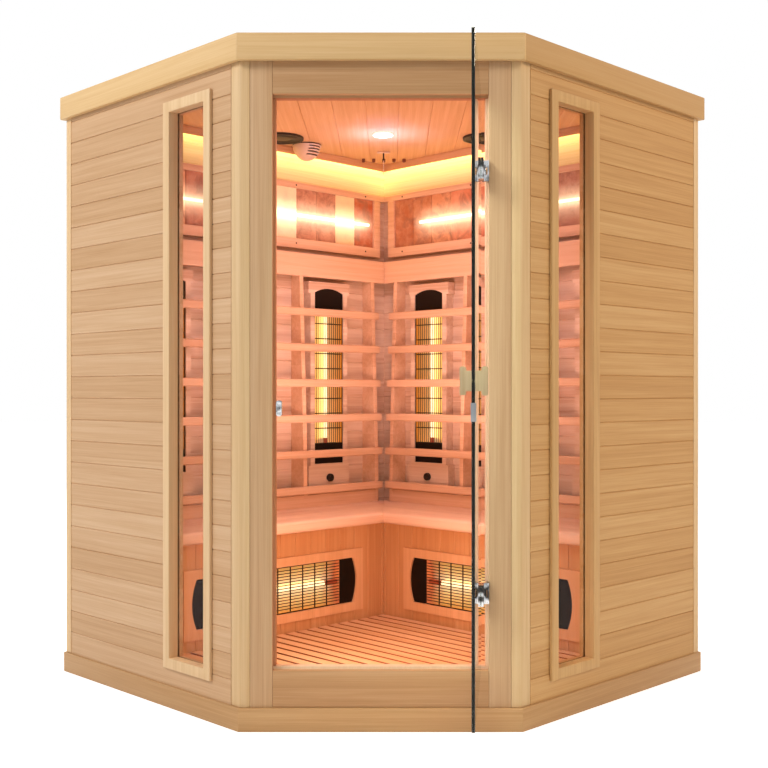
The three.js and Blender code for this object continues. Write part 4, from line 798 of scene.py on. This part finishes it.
def salt_stone(side, turn):
    material, tree, place = new_material("sawn_salt_tile_" + side)
    turned = add_node(tree, "ShaderNodeMapping", {
        "Vector": place, "Rotation": (0, 0, math.radians(turn))}).outputs[0]
    axes = add_node(tree, "ShaderNodeSeparateXYZ", {0: turned})
    along = add_node(tree, "ShaderNodeMath", {
        0: axes.outputs["X"], 1: -wall_sign[side], 2: half_side}, operation="MULTIPLY_ADD")
    share = add_node(tree, "ShaderNodeMapRange", {
        "Value": along.outputs[0], "From Min": tile_start, "From Max": tile_start + tile_count * tile_width})
    tile = add_node(tree, "ShaderNodeValToRGB", {"Fac": share.outputs[0]})
    tile.color_ramp.interpolation = "CONSTANT"
    tile.color_ramp.elements.remove(tile.color_ramp.elements[1])
    tile.color_ramp.elements[0].color = linear(stones[side][0])
    for number, colour in enumerate(stones[side][1:], 1):
        tile.color_ramp.elements.new(number / tile_count).color = linear(colour)
    cloud = add_node(tree, "ShaderNodeTexNoise", {
        "Vector": turned, "Scale": 1 / 0.035, "Detail": 5.0, "Roughness": 0.6})
    vein = add_node(tree, "ShaderNodeMapRange", {
        "Value": cloud.outputs[0], "From Min": 0.35, "From Max": 0.7, "To Min": 0.0, "To Max": 0.3})
    veined = add_node(tree, "ShaderNodeMix", {
        "Factor": vein.outputs[0], "A": tile.outputs[0], "B": linear("#F0C8A0")}, data_type="RGBA")
    # clay makes dark clouds, some 60 mm across, in the brown tiles
    # the cream tiles, whose colour holds more blue, stay clear
    clay = add_node(tree, "ShaderNodeTexNoise", {
        "Vector": turned, "Scale": 1 / 0.06, "Detail": 6.0, "Roughness": 0.65, "Distortion": 0.6})
    clouded = add_node(tree, "ShaderNodeMapRange", {
        "Value": clay.outputs[0], "From Min": 0.38, "From Max": 0.54, "To Min": 0.8, "To Max": 0.0})
    channels = add_node(tree, "ShaderNodeSeparateColor", {0: tile.outputs[0]})
    brown = add_node(tree, "ShaderNodeMapRange", {
        "Value": channels.outputs["Blue"], "From Min": 0.17, "From Max": 0.35, "To Min": 1.0, "To Max": 0.12})
    darkened = add_node(tree, "ShaderNodeMath", {
        0: clouded.outputs[0], 1: brown.outputs[0]}, operation="MULTIPLY")
    stone = add_node(tree, "ShaderNodeMix", {
        "Factor": darkened.outputs[0], "A": veined.outputs["Result"], "B": linear("#8E5A40")},
        data_type="RGBA")
    rough = add_node(tree, "ShaderNodeMapRange", {"Value": cloud.outputs[0], "To Min": 0.4, "To Max": 0.7})
    crystal = add_node(tree, "ShaderNodeTexNoise", {"Vector": turned, "Scale": 1 / 0.004, "Detail": 2.0})
    bump = add_node(tree, "ShaderNodeBump", {
        "Height": crystal.outputs[0], "Strength": 0.4, "Distance": 0.001})
    lamp_off = add_node(tree, "ShaderNodeMath", {0: axes.outputs["Z"], 1: lamp_height}, operation="SUBTRACT")
    distance = add_node(tree, "ShaderNodeMath", {0: lamp_off.outputs[0]}, operation="ABSOLUTE")
    near = add_node(tree, "ShaderNodeMapRange", {
        "Value": distance.outputs[0], "From Max": 0.085, "To Min": 1.0, "To Max": 0.0},
        interpolation_type="SMOOTHERSTEP")
    lit = add_node(tree, "ShaderNodeMapRange", {
        "Value": along.outputs[0], "From Min": lamp_start[side] - 0.05, "From Max": lamp_start[side] + 0.04})
    halo = add_node(tree, "ShaderNodeMapRange", {
        "Value": distance.outputs[0], "From Max": 0.034, "To Min": 1.4, "To Max": 0.0},
        interpolation_type="SMOOTHERSTEP")
    spread = add_node(tree, "ShaderNodeMath", {0: near.outputs[0], 1: halo.outputs[0]}, operation="ADD")
    both = add_node(tree, "ShaderNodeMath", {0: spread.outputs[0], 1: lit.outputs[0]}, operation="MULTIPLY")
    power = add_node(tree, "ShaderNodeMath", {0: both.outputs[0], 1: 0.78, 2: 0.03}, operation="MULTIPLY_ADD")
    light = add_node(tree, "ShaderNodeMix", {
        "Factor": 0.6, "A": stone.outputs["Result"], "B": linear("#FFEAC0")}, data_type="RGBA")
    surface = add_node(tree, "ShaderNodeBsdfPrincipled", {
        "Base Color": stone.outputs["Result"], "Roughness": rough.outputs[0], "Normal": bump.outputs[0],
        "IOR": 1.54, "Emission Color": light.outputs["Result"], "Emission Strength": power.outputs[0]})
    add_node(tree, "ShaderNodeOutputMaterial", {"Surface": surface.outputs[0]})
    return material


lamp_glow = glow("frosted_salt_lamp", "#FFEFC4", strength=2.2, grain=0.2)
frame_low, frame_high, frame_depth, end_gap = 1.481, 1.736, 0.024, 0.0003
wall_end, row_end, corner_edge = 1.3937, 1.354, 0.046
screw_places, screw_heights, screw_radius = (0.13, 0.5, 0.87, 1.24), (1.7245, 1.5), 0.0035
for side, turn in (("left", -45), ("right", 45)):
    sign = wall_sign[side]
    finish_node("salt_tiles_" + side, salt_stone(side, turn))
    boards = []
    for low, high, bottom, top in ((2 * end_gap, wall_end, salt_high, frame_high),
                                   (corner_edge, wall_end, frame_low, salt_low),
                                   (corner_edge, tile_start, salt_low + end_gap, salt_high - end_gap),
                                   (row_end, wall_end, salt_low + end_gap, salt_high - end_gap)):
        board = shaped_box("salt_board", (sign * low, seat_gap, bottom), (sign * high, frame_depth, top))
        for vertex in board.data.vertices:
            mitre = vertex.co.y + end_gap
            if sign * vertex.co.x < mitre:
                vertex.co.x = sign * mitre
        apply_modifier(board, "BEVEL", width=0.0015, segments=2)
        boards.append(board)
    for along in screw_places:
        for height in screw_heights:
            screw = wire("salt_screw", screw_radius, (sign * along, frame_depth - 0.002, height),
                         (sign * along, frame_depth + 0.0006, height), sides=16)
            apply_modifier(screw, "BEVEL", width=0.0004, segments=2, limit_method="ANGLE")
            screw.data.materials.append(browned_steel_and_shade)
            boards.append(screw)
    salt_frame = boards[0]
    salt_frame.name = f"salt_frame_{side}_dressed"
    frame_board = hemlock("hemlock_salt_frame_" + side, ("#CAA07E", "#DAB694", "#E6C6A8"),
                          turn=turn, board=0.2, start=1.4)
    for board in boards[:4]:
        board.data.materials.append(frame_board)
    join_into(salt_frame, boards[1:])
    hang(salt_frame, side, 0, 0, 0)
    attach(salt_frame, "cabin")
    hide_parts("salt_frame_" + side)
    tube = wire("salt_lamp_" + side, lamp_radius, (sign * lamp_start[side], lamp_out, lamp_height),
                (sign * (row_end - 0.002), lamp_out, lamp_height), sides=20)
    apply_modifier(tube, "BEVEL", width=0.002, segments=3, limit_method="ANGLE", angle_limit=math.radians(60))
    tube.data.materials.append(lamp_glow)
    hang(tube, side, 0, 0, 0)
    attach(tube, "cabin")

# Cove lights: a strip light in an aluminium channel behind each crown, stuck to the wall.
# Only its light on the boards shows from the front.
cove_glow = glow("warm_cove_strip", "#FFD070", strength=14.0, grain=0.3)
channel_start, channel_end, channel_low, channel_high = 0.03, 1.39, 1.852, 1.8605
channel_back, channel_front = 0.002, 0.016
for side in ("left", "right"):
    sign = wall_sign[side]
    channel = shaped_box("cove_light_" + side, (sign * channel_start, channel_back, channel_low),
                         (sign * channel_end, channel_front, channel_high))
    apply_modifier(channel, "BEVEL", width=0.001, segments=2)
    channel.data.materials.append(steel)
    channel.data.materials.append(cove_glow)
    for face in channel.data.polygons:
        face.material_index = 1 if face.normal.z < -0.9 else 0
    hang(channel, side, 0, 0, 0)
    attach(channel, "cabin")

# Ceiling fittings: two black speakers with a ribbed grille, a frosted downlight in a white bezel.
# All are moulded plastic, pushed into holes of the ceiling and held by a flange.
ceiling = 1.8677


def round_fitting(name, x, y, radius, drop, edge, rim, recess, body_material, face_material, steps):
    bpy.ops.mesh.primitive_cylinder_add(vertices=72, radius=radius, depth=drop,
                                        location=(x, y, ceiling - drop / 2))
    piece = bpy.context.object
    piece.name = name
    settle(piece)
    piece.data.materials.append(body_material)
    piece.data.materials.append(face_material)
    for face in piece.data.polygons:
        face.select = face.normal.z < -0.9
    bpy.ops.object.mode_set(mode="EDIT")
    bpy.ops.mesh.select_mode(type="FACE")
    bpy.ops.transform.resize(value=((radius - edge) / radius,) * 2 + (1,), center_override=(x, y, ceiling))
    bpy.ops.mesh.inset(thickness=rim)
    bpy.ops.mesh.inset(thickness=0.0008)
    bpy.ops.transform.translate(value=(0, 0, recess))
    piece.active_material_index = 1
    bpy.ops.object.material_slot_assign()
    for inset, lift in steps:
        bpy.ops.mesh.inset(thickness=inset)
        bpy.ops.transform.translate(value=(0, 0, lift))
    bpy.ops.object.mode_set(mode="OBJECT")
    apply_modifier(piece, "BEVEL", width=0.0006, segments=2, limit_method="ANGLE",
                   angle_limit=math.radians(50))
    smooth(piece, 30)
    return piece


grille_steps = [(0.002, 0.0), (0.0005, 0.0012), (0.002, 0.0), (0.0005, -0.0012)] * 7
speaker_x, speaker_y, downlight_y = 0.378, 0.4377, 0.3827
for side, sign in (("left", -1), ("right", 1)):
    speaker = round_fitting(f"speaker_{side}_dressed", sign * speaker_x, speaker_y, radius=0.087, drop=0.008,
                            edge=0.004, rim=0.009, recess=0.003, body_material=black_plastic,
                            face_material=black_plastic, steps=grille_steps)
    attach(speaker, "cabin")
    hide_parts("speaker_" + side)
# the bezel round the lens glows faintly: a painted glow of the light from the lens
bezel_with_painted_glow = glow("white_moulded_bezel_painted_glow", "#FFF6FF", strength=0.6, grain=0.002)
frosted_lens = glow("frosted_downlight_lens", "#F6F2FF", strength=4.0, grain=0.05)
downlight = round_fitting("downlight_dressed", 0, downlight_y, radius=0.04, drop=0.007, edge=0.003, rim=0.008,
                          recess=0.002, body_material=bezel_with_painted_glow, face_material=frosted_lens,
                          steps=((0.006, -0.001), (0.008, -0.0006)))
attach(downlight, "cabin")
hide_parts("downlight")

# Ioniser: a thin beige plastic bowl that hangs open side up under the ceiling, with four slits in its side
# and a dark brown rim, its darkness a painted shadow of the gap between bowl and ceiling. Injection moulded
# with a satin skin.
beige = mottled("beige_moulded_plastic", 0.0008, 1.0, ("#C4AC90", "#D4BEA4"), {"Roughness": 0.45, "IOR": 1.5})
bowl_x, bowl_y, bowl_radius, bowl_height = -0.292, 0.5597, 0.054, 0.062
bpy.ops.mesh.primitive_uv_sphere_add(segments=64, ring_count=32, radius=1)
ioniser = bpy.context.object
ioniser.name = "ioniser_dressed"
ioniser.scale = (bowl_radius, bowl_radius, bowl_height)
settle(ioniser)
bpy.ops.object.mode_set(mode="EDIT")
bpy.ops.mesh.select_all(action="SELECT")
bpy.ops.mesh.bisect(plane_co=(0, 0, 0), plane_no=(0, 0, 1), clear_outer=True)
bpy.ops.object.mode_set(mode="OBJECT")
apply_modifier(ioniser, "SOLIDIFY", thickness=0.003, offset=-1)
slit_count, slit_start, slit_pitch = 4, 0.0125, 0.01
slit_half_height, slit_half_length, slit_reach = 0.0025, 0.027, 0.12
for number in range(slit_count):
    depth = -slit_start - number * slit_pitch
    slit = shaped_box("slit", (0, -slit_half_length, depth - slit_half_height),
                      (slit_reach, slit_half_length, depth + slit_half_height))
    slit.rotation_euler = (0, 0, math.radians(-45))
    settle(slit)
    apply_modifier(ioniser, "BOOLEAN", operation="DIFFERENCE", object=slit, solver="EXACT")
    bpy.data.objects.remove(slit)
bpy.ops.mesh.primitive_torus_add(major_segments=64, minor_segments=12, major_radius=bowl_radius - 0.0012,
                                 minor_radius=0.0024, location=(0, 0, -0.0026))
rim = bpy.context.object
settle(rim)
# the rim's dark colour is painted shade: the shadow gap between bowl and ceiling
rim.data.materials.append(browned_steel_and_shade)
ioniser.data.materials.append(beige)
join_into(ioniser, [rim])
ioniser.location = (bowl_x, bowl_y, ceiling)
settle(ioniser)
smooth(ioniser, 35)
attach(ioniser, "cabin")
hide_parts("ioniser")

# Temperature sensor: a small moulded plate screwed to the ceiling, a dark rubber sleeve and a pale probe.
# It hangs in front of the vent holes.
sensor_y = 0.6897
plate = shaped_box("temperature_sensor_dressed", (-0.026, -0.01, -0.005), (0.026, 0.01, 0))
apply_modifier(plate, "BEVEL", width=0.003, segments=3)
plate.data.materials.append(beige)
sleeve = wire("sleeve", 0.003, (0, 0, -0.034), (0, 0, -0.005), sides=20)
sleeve.data.materials.append(black_plastic)
probe = wire("probe", 0.0016, (0, 0, -0.088), (0, 0, -0.033), sides=20)
apply_modifier(probe, "BEVEL", width=0.001, segments=3, limit_method="ANGLE", angle_limit=math.radians(60))
probe.data.materials.append(beige)
join_into(plate, [sleeve, probe])
plate.location = (0, sensor_y, ceiling)
settle(plate)
smooth(plate, 35)
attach(plate, "cabin")
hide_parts("temperature_sensor")

# Vent plugs: five round-nosed plugs of brown moulded plastic, pushed into the vent holes in the ceiling.
# They stand proud of the boards, so that a row of dots shows in front of the corner.
brown_plastic = mottled("brown_moulded_plastic", 0.003, 1.0, ("#5A2C1C", "#7C4630"),
                        {"Roughness": 0.5, "IOR": 1.5})
vent_pitch, vent_line, vent_count, plug_radius = 0.041, 0.8227, 5, 0.0068
first_vent = -vent_pitch * (vent_count - 1) / 2
plugs = wire("vent_plugs", plug_radius, (first_vent, vent_line, ceiling - 0.014),
             (first_vent, vent_line, ceiling + 0.004), sides=32)
apply_modifier(plugs, "BEVEL", width=0.004, segments=4, limit_method="ANGLE", angle_limit=math.radians(60))
repeat(plugs, vent_count, (vent_pitch, 0, 0))
smooth(plugs, 40)
plugs.data.materials.append(brown_plastic)
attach(plugs, "cabin")

# Light inside: the cabin's own warm light, from above and, thrown back by floor and bench, from below.
# None of these lamps is seen; the small one under the downlight makes the pale ring on the ceiling.
inside_lamps = (
    soft_lamp("inside_lamp", (0, -0.2, 1.8), (0, 0.2, 0.2), size=0.7, power=8.6, colour="#FFCCD6"),
    soft_lamp("bounce_lamp", (0, 0.0, 0.7), (0, 0.1, 2), size=0.7, power=8, colour="#FFC6C0"),
    soft_lamp("low_lamp", (0, -0.5, 0.42), (0, 0.5, 0.25), size=0.4, power=5.4, colour="#FFB494"),
    soft_lamp("halo_lamp", (0, downlight_y, 1.75), (0, downlight_y, 2), size=0.1, power=0.75,
              colour="#B8B4FF"),
)
for lamp in inside_lamps:
    lamp.visible_glossy = False
